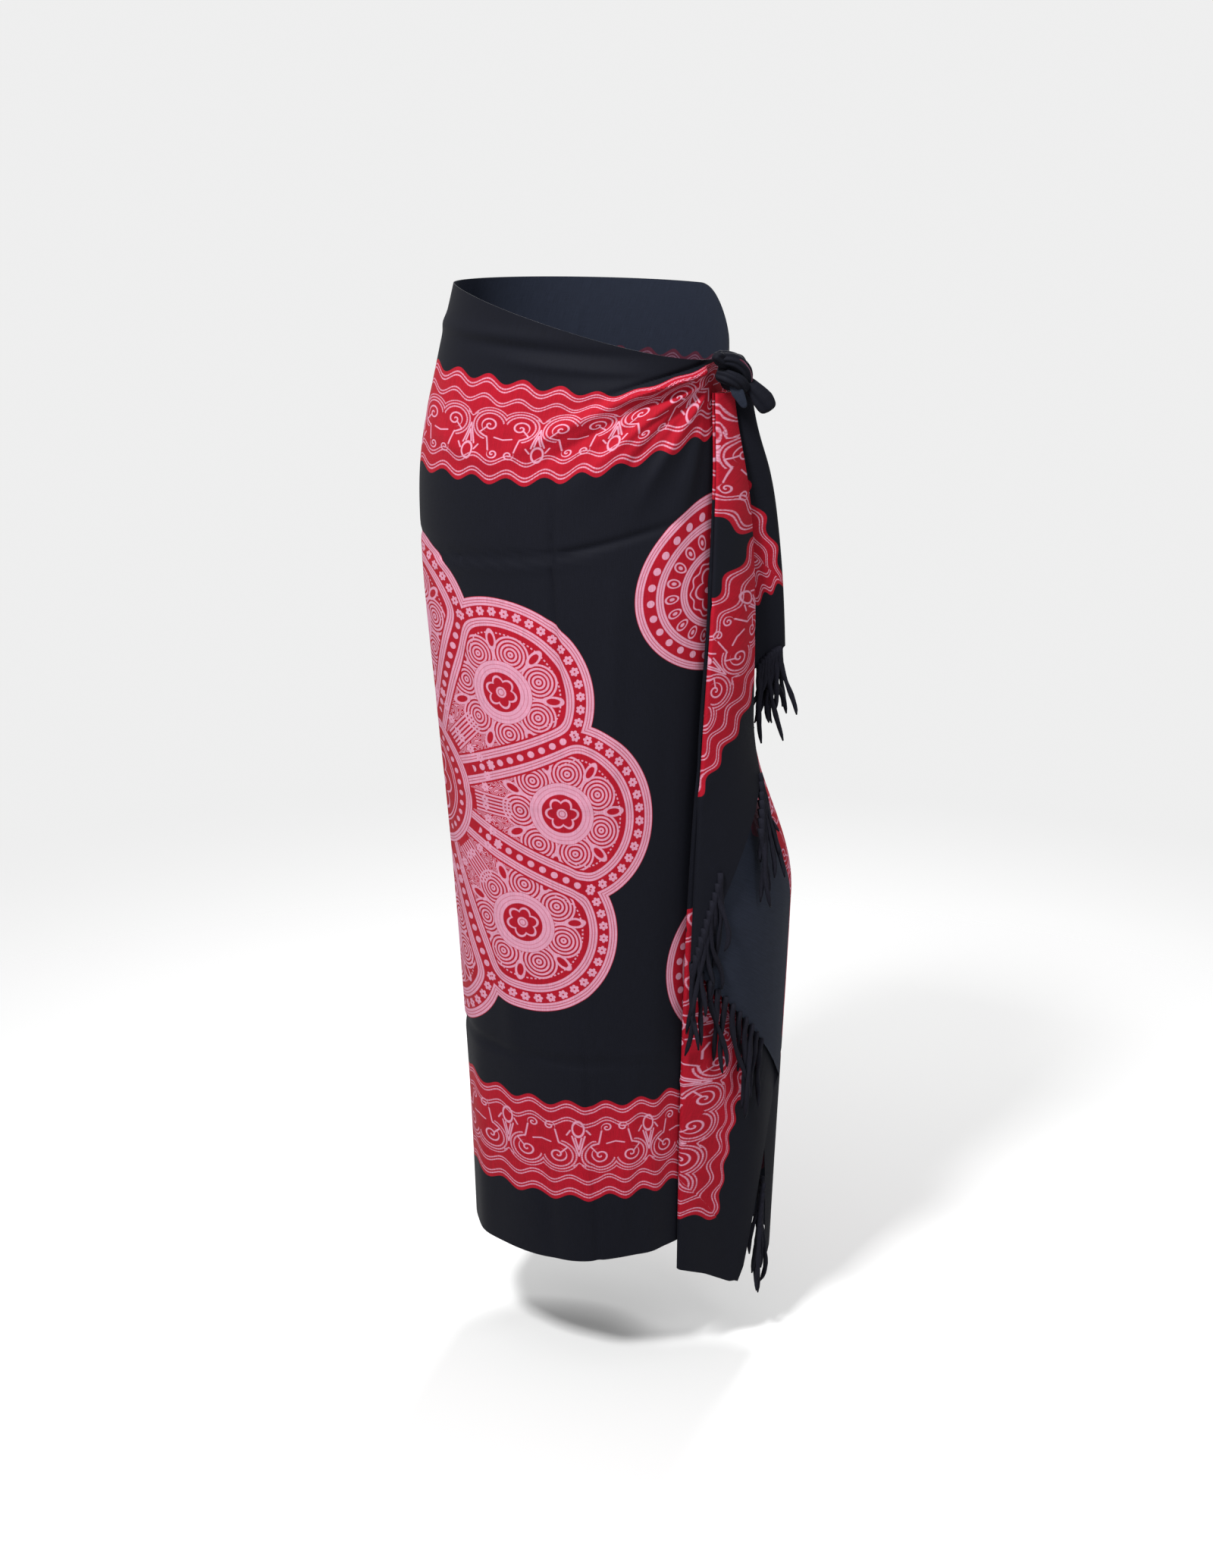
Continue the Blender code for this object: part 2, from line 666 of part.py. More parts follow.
def main():
    """Build the sarong."""
    clear_scene()
    down_stops = ((0.0, 0), (0.02, 1), (0.30, 9), (1.0, 12))
    make_wrap("wrap_front", "front", ((SIDE_SEAM_SHARES[0], 0), (0.60, 13), (1.0, 18)), down_stops)
    make_wrap("wrap_back", "back", ((SIDE_SEAM_SHARES[1], 0), (0.45, 6), (1.0, 11)), down_stops)
    make_tail("tail_front", FRONT_TAIL, 2, 2, 20, False)
    make_tail("tail_back", BACK_TAIL, 3, 2, 20, True)
    make_fringe("fringe_front", FRONT_TAIL, 2, 2, 20, False)
    make_fringe("fringe_back", BACK_TAIL, 3, 2, 20, True)
    make_knot("knot")


main()
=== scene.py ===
"""Looks of the sarong: its printed cloth as thin shells with their creases, the knot and the fringe.

Metres, +Z up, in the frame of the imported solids. A place on the cloth as cut is (s, t): s along the length
from the middle, t down from the top edge. The UV map of each piece of cloth holds that place, in metres.
"""
import math

import bpy
import numpy as np
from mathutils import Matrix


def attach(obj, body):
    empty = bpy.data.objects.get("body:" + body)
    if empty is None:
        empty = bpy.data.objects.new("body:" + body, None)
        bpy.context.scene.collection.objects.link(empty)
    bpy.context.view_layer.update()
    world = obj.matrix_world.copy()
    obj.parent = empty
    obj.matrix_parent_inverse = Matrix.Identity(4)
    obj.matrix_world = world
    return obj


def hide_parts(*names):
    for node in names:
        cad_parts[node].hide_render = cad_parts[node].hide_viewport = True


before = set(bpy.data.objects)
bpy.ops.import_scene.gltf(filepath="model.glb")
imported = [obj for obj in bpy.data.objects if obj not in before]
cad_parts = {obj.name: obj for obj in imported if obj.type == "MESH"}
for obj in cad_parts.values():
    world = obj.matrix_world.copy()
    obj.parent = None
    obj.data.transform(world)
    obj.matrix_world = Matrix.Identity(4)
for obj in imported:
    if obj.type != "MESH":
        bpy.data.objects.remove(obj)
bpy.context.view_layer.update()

# The cloth as cut
CLOTH_LENGTH = 1.80
CLOTH_HEIGHT = 1.10
GATHER_S = 0.585        # how far from the middle the length is gathered into the knot
GATHER_T = 0.070        # how far below the top edge
THIN = 0.0007           # the shell's wall

# The general figure that the cloth goes round
# columns: drop below the waist, half width, half depth, shift to the wearer's right
FIGURE = (
    (0.00, 0.160, 0.115, 0.000),
    (0.08, 0.172, 0.122, 0.011),
    (0.20, 0.190, 0.132, 0.020),
    (0.30, 0.190, 0.135, 0.019),
    (0.45, 0.178, 0.134, 0.014),
    (0.65, 0.163, 0.128, 0.008),
    (0.85, 0.152, 0.125, 0.004),
    (1.20, 0.141, 0.122, 0.000),
)
MIDDLE_TURN = math.radians(-41.5)   # where the cloth's middle lies: 0 is the front, 90 degrees the left hip
KNOT_TURN = math.radians(90.0)
KNOT_Z = -0.082
SIDE_SEAM_TURN = math.radians(-150.0)   # where the front stretch of the wrap hands over to the back one

# Waist edge: the part of the height that is rolled in, as the edge runs down to the knot
FRONT_RIM_RAMP = (math.radians(-62.0), math.radians(90.0))
BACK_RIM_RAMP = (math.radians(150.0), math.radians(96.0))

# How far the knot pulls the cloth up beside it
# columns: place down the cloth, lift beside the knot
KNOT_LIFT = (
    (0.00, 0.000),
    (0.07, 0.000),
    (0.20, 0.052),
    (0.33, 0.032),
    (0.60, 0.016),
    (1.10, 0.016),
)
# The same for the print, whose motifs keep their form
PRINT_LIFT = (
    (0.00, 0.000),
    (0.07, 0.000),
    (0.20, 0.052),
    (0.24, 0.037),
    (0.45, 0.033),
    (0.62, 0.016),
    (1.10, 0.016),
)
# Turns between which the lift grows
LIFT_RAMP_FRONT = (math.radians(0.0), math.radians(95.0))
LIFT_RAMP_BACK = (math.radians(190.0), math.radians(110.0))

# The print is slack over the wearer's right hip and even elsewhere
# columns: length along the wrap, place of the print
PRINT_SPREAD = (
    (-0.700, -0.610),
    (-0.550, -0.460),
    (-0.300, -0.210),
    (-0.150, -0.062),
    (-0.050, 0.025),
    (0.000, 0.052),
    (0.046, 0.080),
    (0.120, 0.135),
    (0.185, 0.188),
    (0.300, 0.300),
    (0.450, 0.450),
    (0.700, 0.700),
)
# Beside the front of the knot the upper margin sags over the band and folds over it
# columns: s, sag of the band's upper edge, how much of the band the fold hides
BAND_FOLD = (
    (-0.150, 0.000, 0.000),
    (-0.030, 0.006, 0.000),
    (0.060, 0.009, 0.000),
    (0.130, 0.014, 0.000),
    (0.200, 0.022, 0.000),
    (0.250, 0.030, 0.006),
    (0.310, 0.018, 0.030),
    (0.360, 0.004, 0.042),
    (0.500, 0.000, 0.042),
)
FOLD_LINE = (0.251, 0.108, 0.357, 0.072)    # s and t of its two ends
FOLD_STEP = 0.0045      # half the width over which the band goes under
FOLD_FADE = (0.095, 0.190)      # the sag fades out between these places down the cloth

# Folds that run out of the knot over the wrap
# columns: side (-1 front, +1 back), degrees below level, half width in degrees, height, reach
PULL_FOLDS = (
    (-1, 8.0, 5.0, 0.0050, 0.26),
    (-1, 22.0, 6.0, 0.0075, 0.30),
    (-1, 36.0, 6.5, 0.0085, 0.27),
    (-1, 52.0, 6.0, 0.0060, 0.22),
    (-1, 68.0, 6.0, 0.0045, 0.30),
    (1, 10.0, 6.0, 0.0060, 0.24),
    (1, 27.0, 6.5, 0.0080, 0.30),
    (1, 44.0, 7.0, 0.0070, 0.26),
)
FOLD_FULL = 0.12        # distance from the knot where a fold has its full height

# Long shallow folds that hang down the wrap
# columns: turn in degrees, half width in degrees, height at the hem, drop where it starts
HANGING_FOLDS = (
    (-128.0, 9.0, 0.006, 0.35),
    (-92.0, 8.0, 0.005, 0.45),
    (-30.0, 10.0, 0.004, 0.60),
    (28.0, 12.0, 0.004, 0.55),
    (66.0, 8.0, 0.006, 0.50),
    (-165.0, 9.0, 0.007, 0.35),
    (-192.0, 9.0, 0.006, 0.30),
)

# Growth of a tail's spread with the distance from the knot
# columns: distance, share of the spread along the hip, share of the spread away from it
TAIL_GROWTH = (
    (0.00, 0.26, 0.48),
    (0.05, 0.40, 0.50),
    (0.15, 0.74, 0.70),
    (0.35, 1.00, 1.00),
    (1.20, 1.00, 1.00),
)
TAIL_BASE = 0.0017      # what lies under a tail
TAIL_TOP = 0.022        # where a tail comes out of the knot
LOW_FROM = 0.38         # the lower spread takes over between these distances
LOW_TO = 0.62
SLOPE_FULL = 0.12       # distance from the knot where a slanting fold costs its full height
LEAST_FALL = 0.85       # a fold never falls less than this share of its length
SLIT = 0.2              # half the angle of cloth, in degrees, in the turn of a flattened fold

# Folds of the front tail, each a ray from the knot. The pleats hide some cloth, so the print has its own rays
# columns: ray in degrees, along and away (upper), along and away (lower), rise of the turn, roundness,
# ray of the print beside the knot, ray of the print further down
FRONT_TAIL = (
    (2.0, 0.020, 0.0002, 0.020, 0.0002, 0.0000, 0.004, 8.0, 8.0),
    (7.6, -0.022, 0.0025, -0.024, 0.0025, 0.0045, 0.002, 12.3, 12.3),
    (14.0, 0.006, 0.0050, 0.016, 0.0240, 0.0000, 0.016, 14.6, 14.6),
    (18.0, 0.020, 0.0055, 0.038, 0.0560, 0.0000, 0.016, 19.0, 19.0),
    (22.0, 0.033, 0.0085, 0.060, 0.0720, 0.0050, 0.0025, 27.0, 27.0),
    (29.0, -0.027, 0.0140, -0.027, 0.0140, 0.0050, 0.0025, 33.0, 33.0),
    (37.0, 0.006, 0.0260, 0.006, 0.0460, 0.0000, 0.018, 39.0, 39.0),
    (45.0, 0.040, 0.0285, 0.040, 0.0720, -0.0050, 0.0025, 45.0, 45.0),
    (57.0, 0.012, 0.0205, 0.012, 0.0520, -0.0050, 0.002, 62.0, 56.0),
    (66.0, 0.048, 0.0195, 0.048, 0.0600, 0.0000, 0.005, 86.0, 66.0),
    (88.0, 0.062, 0.0680, 0.062, 0.0880, 0.0000, 0.012, 92.0, 88.0),
    (102.0, 0.082, 0.0500, 0.082, 0.0700, 0.0000, 0.004, 102.0, 102.0),
)
# The same for the back tail
BACK_TAIL = (
    (1.0, 0.135, 0.0015, 0.135, 0.0015, 0.0000, 0.004, 6.0, 6.0),
    (6.0, 0.114, 0.0190, 0.114, 0.0480, 0.0000, 0.018, 11.0, 11.0),
    (13.0, 0.086, 0.0280, 0.080, 0.0850, 0.0000, 0.014, 16.5, 16.5),
    (24.0, 0.056, 0.0200, 0.050, 0.0480, -0.0060, 0.003, 25.0, 25.0),
    (38.0, 0.104, 0.0100, 0.104, 0.0160, -0.0050, 0.0025, 38.0, 38.0),
    (60.0, 0.062, 0.0040, 0.062, 0.0060, 0.0000, 0.004, 60.0, 60.0),
)
PRINT_TURN = (0.12, 0.26)   # distances from the knot between which the print's first ray gives way
FRONT_WRAP_TUCK = 0.112     # how far the front stretch runs on under the tails
BACK_WRAP_END = 0.1335      # where the back stretch hands over to the back tail
BACK_WRAP_RISE = 0.0034     # the back stretch rises over the front one to meet its tail
SETTLE_STEPS = 14           # rounds in which a place on the wrap finds its height
TUCK_FRONT = (-0.075, -0.036)   # the wrap's folds fade out under the tails
TUCK_BACK = (0.140, 0.170)

# Soft creases of the wrap, in the cloth's own sizes
# columns: s, t of the middle, degrees from level, half length, half width, height (a trough if negative)
WRAP_CREASES = (
    (0.195, 0.330, 90.0, 0.130, 0.0040, -0.0034),
    (0.203, 0.330, 90.0, 0.130, 0.0060, 0.0022),
    (0.192, 0.640, 90.0, 0.160, 0.0050, 0.0026),
    (0.188, 0.980, 89.0, 0.140, 0.0045, -0.0034),
    (0.110, 0.282, -5.0, 0.120, 0.0040, -0.0032),
    (0.110, 0.290, -5.0, 0.120, 0.0060, 0.0020),
    (0.270, 0.266, -6.0, 0.060, 0.0040, -0.0026),
    (0.110, 0.852, 0.0, 0.130, 0.0040, -0.0028),
    (0.280, 0.848, 1.0, 0.060, 0.0045, 0.0020),
    (0.140, 0.550, 0.0, 0.120, 0.0050, 0.0014),
    (0.255, 0.117, -24.0, 0.115, 0.0085, 0.0064),
    (0.262, 0.138, -27.0, 0.090, 0.0070, -0.0044),
    (0.296, 0.140, -42.0, 0.075, 0.0070, 0.0052),
    (0.314, 0.152, -50.0, 0.060, 0.0060, -0.0040),
    (0.330, 0.160, -62.0, 0.070, 0.0065, 0.0040),
    (0.304, 0.085, -18.5, 0.065, 0.0040, -0.0044),
    (0.305, 0.097, -18.5, 0.070, 0.0050, 0.0042),
    (0.030, 0.045, 2.0, 0.120, 0.0080, 0.0026),
    (0.150, 0.060, 3.0, 0.110, 0.0070, -0.0026),
    (0.190, 0.078, 4.0, 0.080, 0.0060, 0.0022),
    (0.250, 0.440, 97.0, 0.120, 0.0120, 0.0030),
    (0.300, 0.640, 92.0, 0.160, 0.0130, -0.0028),
    (0.090, 0.730, 88.0, 0.120, 0.0160, 0.0024),
    (0.230, 0.960, 96.0, 0.110, 0.0110, 0.0032),
    (0.130, 1.020, 84.0, 0.080, 0.0110, -0.0026),
    (0.060, 0.420, 80.0, 0.090, 0.0150, -0.0020),
    (0.070, 0.170, 12.0, 0.060, 0.0100, 0.0020),
    (-0.030, 0.600, 90.0, 0.300, 0.0060, 0.0018),
    (-0.255, 0.500, 90.0, 0.400, 0.0055, -0.0022),
    (-0.100, 0.275, 0.0, 0.120, 0.0050, -0.0020),
    (-0.300, 0.277, 1.0, 0.120, 0.0050, 0.0018),
    (-0.120, 0.850, 0.0, 0.140, 0.0050, -0.0018),
    (-0.350, 0.848, 1.0, 0.120, 0.0050, 0.0016),
    (-0.160, 0.120, 6.0, 0.090, 0.0120, 0.0026),
    (-0.330, 0.170, -14.0, 0.110, 0.0110, 0.0032),
    (-0.300, 0.680, 84.0, 0.150, 0.0150, 0.0030),
    (-0.150, 0.940, 95.0, 0.110, 0.0130, 0.0030),
    (-0.420, 0.560, 93.0, 0.180, 0.0140, -0.0028),
    (-0.450, 0.900, 86.0, 0.130, 0.0130, 0.0028),
    (-0.455, 0.150, 22.0, 0.080, 0.0090, 0.0040),
    (-0.460, 0.190, 34.0, 0.080, 0.0100, -0.0034),
)

# Soft creases of the tails
# columns as above
TAIL_CREASES = (
    (0.640, 0.300, 62.0, 0.060, 0.0060, 0.0012),
    (0.700, 0.420, 74.0, 0.080, 0.0080, -0.0014),
    (0.760, 0.280, 50.0, 0.060, 0.0070, 0.0012),
    (0.840, 0.500, 84.0, 0.080, 0.0080, 0.0014),
    (0.660, 0.760, 86.0, 0.120, 0.0080, 0.0014),
    (0.730, 0.900, 88.0, 0.090, 0.0070, -0.0012),
    (0.680, 0.275, 0.0, 0.120, 0.0045, -0.0010),
    (0.740, 0.852, 0.0, 0.120, 0.0045, 0.0010),
    (0.675, 0.600, 90.0, 0.200, 0.0045, -0.0010),
)

KNOT_OUT = 0.0205       # how far the knot's middle is off the figure
# Rolls of cloth that the knot is made of
# columns: side of the cloth (0 printed, 1 wrong), place on the cloth, route, half widths along it,
# half thicknesses, pleats, their depth, twist. A route's points are to the camera's right, out and up
KNOT_ROLLS = (
    (0, (0.860, 0.030),
     ((0.000, 0.000, 0.018), (0.003, 0.000, 0.002), (0.004, 0.000, -0.020)),
     (0.012, 0.017, 0.012), (0.012, 0.016, 0.012), 9, 0.12, 1.0),
    (0, (0.860, 0.020),
     ((-0.016, 0.010, 0.012), (-0.010, 0.016, 0.016), (0.004, 0.017, 0.013), (0.015, 0.012, 0.002),
      (0.018, 0.004, -0.014)),
     (0.007, 0.0075, 0.008, 0.0075, 0.006), (0.006, 0.0065, 0.0065, 0.006, 0.005), 7, 0.20, 1.6),
    # A thin strip of the wrong side along the upper edge of the roll before it: the band's wrong side, whose
    # pale mauve is placed there partly as painted highlight on that roll
    (1, (0.735, 0.300),
     ((-0.004, 0.016, 0.019), (0.008, 0.018, 0.013), (0.018, 0.013, 0.000), (0.021, 0.004, -0.014)),
     (0.003, 0.0042, 0.004, 0.003), (0.0025, 0.003, 0.003, 0.0025), 3, 0.15, 0.6),
    (0, (0.860, 0.040),
     ((-0.015, 0.008, -0.003), (-0.004, 0.016, -0.004), (0.009, 0.015, -0.009), (0.018, 0.007, -0.018)),
     (0.006, 0.0080, 0.0080, 0.006), (0.005, 0.006, 0.006, 0.005), 6, 0.22, -1.4),
    # A flat tongue of the wrong side under the rolls: the margin's wrong side, whose paler tone is placed
    # there partly as painted highlight on the knot
    (1, (0.860, 0.060),
     ((0.002, 0.013, -0.010), (0.008, 0.014, -0.020), (0.016, 0.012, -0.036)),
     (0.0050, 0.0070, 0.0035), (0.0022, 0.0022, 0.0015), 3, 0.16, 0.3),
    (0, (0.860, 0.050),
     ((0.012, 0.004, -0.006), (0.024, 0.006, -0.016), (0.034, 0.006, -0.028), (0.041, 0.005, -0.041)),
     (0.0070, 0.0085, 0.0115, 0.0105), (0.0050, 0.0055, 0.0065, 0.0060), 5, 0.18, 0.7),
    (0, (0.860, 0.010),
     ((-0.002, 0.010, 0.008), (-0.010, 0.018, 0.014), (-0.016, 0.024, 0.021)),
     (0.0060, 0.0075, 0.0070), (0.0050, 0.0055, 0.0050), 5, 0.20, 0.9),
)
ROLL_SIDES = 56
ROLL_RINGS = 48

# Fringe
FRINGE_STEP = 0.0125
FRINGE_FROM = 18.0      # first ray with a strand, past the cloth's corner
STRAND_LENGTH = 0.078
STRAND_SPREAD = 0.026   # how far a strand's tip stands out from the edge
STRAND_RADIUS = 0.0035
# Swellings where a strand is knotted
# columns: place along the strand, half width, share that it swells
STRAND_KNOTS = (
    (0.10, 0.06, 0.30),
    (0.90, 0.07, 0.18),
)
HIDDEN_RAYS = ((19.2, 24.0), (35.5, 38.0), (45.5, 72.5))     # strands that would lie inside a pleat

# How finely the cloth is drawn
# columns: share of the way, steps that lead to it
WRAP_ROWS = ((0.0, 0), (0.22, 100), (1.0, 130))
WRAP_FRONT_COLUMNS = ((0.0, 0), (0.60, 100), (1.0, 100))
WRAP_BACK_COLUMNS = ((0.0, 0), (1.0, 130))
TAIL_ROWS = 200

# Print: the border band runs round the cloth, a medallion lies in the middle and four circles round it
BAND_FROM = 0.080       # the band's outer edge, from the cloth's edge
BAND_WIDTH = 0.118
BAND_END_SHIFT = 0.010  # the band lies this much nearer to the short edges
WAVE_PERIOD = 0.036
WAVE_HEIGHT = 0.0042
MOTIF_START = 0.009     # from a wave's crest to the middle between two scrolls
MOTIF_STRETCH = 1.04    # the motif is drawn for a length of 72 mm
BAND_LINES = (0.0068, 0.0232)   # depths of its double lines
BEAD_PERIOD = 0.0026    # its lines are beaded
# Half of the band's motif: x from the middle between two scrolls, y from the band's outer edge
SCROLL_CENTRE = (0.0156, 0.0535)
SCROLL_RADIUS = 0.0092
SCROLL_STEP = 0.0060    # from one turn of the scroll to the next
SCROLL_SIDE = 0.0354    # the scroll's half ends here
ARCHES = (0.0146, 0.0180)       # round a scroll, open on one side
TOP_ARCH = 0.0212       # over a scroll
CURL_CENTRE = (0.0084, 0.0880)
CURL_RADIUS = 0.0056
CURL_STEP = 0.0040
BUD_CENTRE = (0.0360, 0.0870)
BUD_SIZE = (0.0054, 0.0092)
# Straight stems, from and to
VINE = (
    ((0.0190, 0.0565), (0.0256, 0.0640)),
    ((0.0256, 0.0640), (0.0168, 0.0690)),
    ((0.0168, 0.0690), (0.0138, 0.0840)),
    ((0.0000, 0.0700), (0.0090, 0.0680)),
    ((0.0360, 0.0540), (0.0300, 0.0780)),
    ((0.0360, 0.0620), (0.0330, 0.0760)),
    ((0.0250, 0.0790), (0.0285, 0.0850)),
)
MEDALLION_S = 0.012
MEDALLION_T = 0.559
MEDALLION_SCALE = (0.93, 1.0)   # along and down the cloth
DISC_RADIUS = 0.0790
DISC_DOTS = (0.0625, 32, 0.0030)        # radius of their ring, their number and size
DISC_RING = 0.0530
DISC_PETAL = 0.0100     # how far the petals of its flowers stand out
# columns: share of that height, radius, half width of the line
DISC_FLOWERS = (
    (1.0, 0.0330, 0.0014),
    (0.6, 0.0230, 0.0012),
    (0.0, 0.0140, 0.0016),
)
DISC_EYE = 0.0060
PETALS = 8
PETAL_CENTRE = 0.186
PETAL_RADIUS = 0.104
# Inside a petal: depths from its edge, and from the line between two petals
FLOWER_DEPTH = 0.0157       # the ring of small flowers
FIELD_DEPTH = 0.0222        # the inner field's border
FIELD_SIDE = 0.0062
FIELD_BORDER = 0.0118       # how wide that border is
# The rosette in a petal, with its ring, scalloped lobes and buds
ROSETTE_SCALE = 1.15
ROSETTE_RING = 0.0246
ROSETTE_EDGE = 0.0305
LOBES = 7
LOBE_RING = 0.0400
LOBE_RADIUS = 0.0178
BUD_RING = 0.0500
FAN_HALF_WIDTH = 0.0125     # the straight stems towards the medallion's middle
CIRCLE_S = 0.379
CIRCLE_T = 0.212        # from the cloth's mid-line
CIRCLE_SCALE = 0.92     # the circles' lines are drawn for a radius of 104 mm
CIRCLE_BORDERS = (0.104, 0.0800, 0.0500)        # outer edges of its three borders
CIRCLE_DOTS = (0.0855, 28, 0.0044)
SEEDS = 20              # ring of seeds: their number, its radius, half a seed's size
SEED_RING = 0.0600
SEED_SIZE = (0.0054, 0.0088)
SCALLOP_RING = 0.0345
CIRCLE_PETAL = 0.0080
SOFT_EDGE = 0.0006      # how soft the edge of a printed line is
LINE_HALF = 0.0008      # half the width of a single line
STRIPE = (0.5, 0.27, 0.14)      # line within a repeat of 1: its middle, half width and softness
WEAVE_PITCH = 0.0009
PRINTED_WEAR = 0.96     # how well the pale lines cover the cloth, on each side
WRONG_WEAR = 0.80

# Camera and stage
VIEW_AZIMUTH = math.radians(35.0)
CAMERA_DISTANCE = 2.50
CAMERA_Z = 0.17
AIM_Z = -0.56
AIM_RIGHT = 0.020       # the view is moved to the camera's right by this much
LENS = 52.22
FLOOR_Z = -1.24
FLOOR_NEAR = 0.7        # the floor fades into the surroundings between these distances
FLOOR_FAR = 2.3
FLOOR_REACH = 14.0
SKY_STRENGTH = 0.86
# Soft lamps
# columns: name, power, size, place, height of the point on the axis that it is aimed at
LAMPS = (
    ("key", 210.0, 0.5, (0.1, -1.9, 1.9), -0.45),
    ("side", 24.0, 0.9, (2.4, -0.3, 0.7), -0.60),
    ("back", 120.0, 0.8, (-0.6, 2.1, 1.5), -0.50),
)


def srgb(red, green, blue):
    """A linear colour from the usual 0 to 255 values."""
    values = []
    for value in (red, green, blue):
        share = value / 255.0
        values.append(share / 12.92 if share <= 0.04045 else ((share + 0.055) / 1.055) ** 2.4)
    return (*values, 1.0)


GROUND = srgb(7, 8, 15)
RED = srgb(128, 9, 26)
PINK = srgb(155, 109, 127)
GROUND_BACK = srgb(22, 26, 36)
RED_BACK = srgb(60, 24, 36)
PINK_BACK = srgb(84, 62, 76)
YARN = srgb(7, 7, 12)


def smooth_table(x, table, column):
    """Smooth curve through one column of a table, against its first column."""
    xs = np.array([row[0] for row in table])
    ys = np.array([row[column] for row in table])
    slopes = np.gradient(ys, xs)
    x = np.clip(np.asarray(x, dtype=float), xs[0], xs[-1])
    i = np.clip(np.searchsorted(xs, x) - 1, 0, len(xs) - 2)
    h = xs[i + 1] - xs[i]
    u = (x - xs[i]) / h
    rise = u * u * (3.0 - 2.0 * u)
    leave = u * (1.0 - u) ** 2 * h * slopes[i]
    arrive = -u * u * (1.0 - u) * h * slopes[i + 1]
    return ys[i] + (ys[i + 1] - ys[i]) * rise + leave + arrive


def ease(x, start, end):
    """0 before start, 1 after end, smooth between."""
    u = np.clip((np.asarray(x, dtype=float) - start) / (end - start), 0.0, 1.0)
    return u * u * (3.0 - 2.0 * u)


def figure_point(turn, z, off):
    """A point at this turn and height, off the figure's surface by off."""
    half_width = smooth_table(-z, FIGURE, 1)
    half_depth = smooth_table(-z, FIGURE, 2)
    shift = smooth_table(-z, FIGURE, 3)
    nx = half_depth * np.sin(turn)
    ny = -half_width * np.cos(turn)
    size = np.sqrt(nx * nx + ny * ny)
    x = half_width * np.sin(turn) - shift + off * nx / size
    y = -half_depth * np.cos(turn) + off * ny / size
    return np.stack([x, y, z + 0.0 * x], axis=-1)


def figure_arc(turn_from, turn_to, z):
    """Length round the figure between two turns, by Simpson's rule."""
    half_width = smooth_table(-z, FIGURE, 1)
    half_depth = smooth_table(-z, FIGURE, 2)
    steps = 24
    total = 0.0
    for i in range(steps + 1):
        weight = 1.0 if i in (0, steps) else (4.0 if i % 2 else 2.0)
        turn = turn_from + (turn_to - turn_from) * i / steps
        total = total + weight * np.hypot(half_width * np.cos(turn), half_depth * np.sin(turn))
    return total * (turn_to - turn_from) / (3.0 * steps)


def turn_at(along, z):
    """The turn that lies this far along the hip from the knot, towards the back if positive."""
    half_width = smooth_table(-z, FIGURE, 1)
    half_depth = smooth_table(-z, FIGURE, 2)
    turn = KNOT_TURN + along / half_depth
    for _ in range(5):
        speed = np.hypot(half_width * np.cos(turn), half_depth * np.sin(turn))
        turn = turn - (figure_arc(KNOT_TURN, turn, z) - along) / speed
    return turn


def near_knot(turn, front_ramp, back_ramp):
    """0 far from the knot, 1 beside it, with a pair of turns on either side between which it grows."""
    front = ease(turn, *front_ramp)
    back = 1.0 - ease(turn, back_ramp[1], back_ramp[0])
    return np.where(turn < KNOT_TURN, front, back)


def rim_roll(turn):
    """How much of the height is rolled in at the waist edge."""
    return GATHER_T * near_knot(turn, FRONT_RIM_RAMP, BACK_RIM_RAMP)


def cloth_height(turn, t):
    """The height above the origin of the wrap's cloth, t down the cloth."""
    return -t + near_knot(turn, LIFT_RAMP_FRONT, LIFT_RAMP_BACK) * smooth_table(t, KNOT_LIFT, 1)


def print_height(turn, z):
    """How far down the cloth the print is at this height."""
    near = near_knot(turn, LIFT_RAMP_FRONT, LIFT_RAMP_BACK)
    t = -z
    for _ in range(SETTLE_STEPS):
        t = near * smooth_table(t, PRINT_LIFT, 1) - z
    return t


def fold_band(s, t):
    """Moves the print down where the upper margin sags and folds over the band."""
    left, left_t, right, right_t = FOLD_LINE
    line = left_t + (right_t - left_t) * (s - left) / (right - left)
    under = ease(t - line, -FOLD_STEP, FOLD_STEP)
    fade = 1.0 - ease(t, *FOLD_FADE)
    sag = smooth_table(s, BAND_FOLD, 1)
    hidden = smooth_table(s, BAND_FOLD, 2)
    return t + (hidden * under - sag) * fade


def tail_growth(reach):
    """Shares of a tail's spread at this distance from the knot."""
    return smooth_table(reach, TAIL_GROWTH, 1), smooth_table(reach, TAIL_GROWTH, 2)


def hanging_fall(sideways, reach):
    """How far below the knot a point hangs that is this far from it in all."""
    sideways = sideways * ease(reach, TAIL_TOP, SLOPE_FULL)
    return np.sqrt(np.maximum(reach ** 2 - sideways ** 2, (LEAST_FALL * reach) ** 2))


def wrap_end(z, along):
    """The turn where a stretch of the wrap ends, drawn in towards the knot as the tails are."""
    reach = np.linspace(0.0, 1.3, 260)
    spread, _ = tail_growth(reach)
    fall = hanging_fall(along * spread, reach)
    return turn_at(along * np.interp(KNOT_Z - z, fall, spread), z)


def wrap_tuck(turn, z):
    """1 on the open wrap, 0 where it lies under the tails."""
    along = figure_arc(KNOT_TURN, turn, z)
    spread, _ = tail_growth(np.clip(KNOT_Z - z, 0.0, 1.0))
    return 1.0 - ease(along / spread, *TUCK_FRONT) * (1.0 - ease(along / spread, *TUCK_BACK))


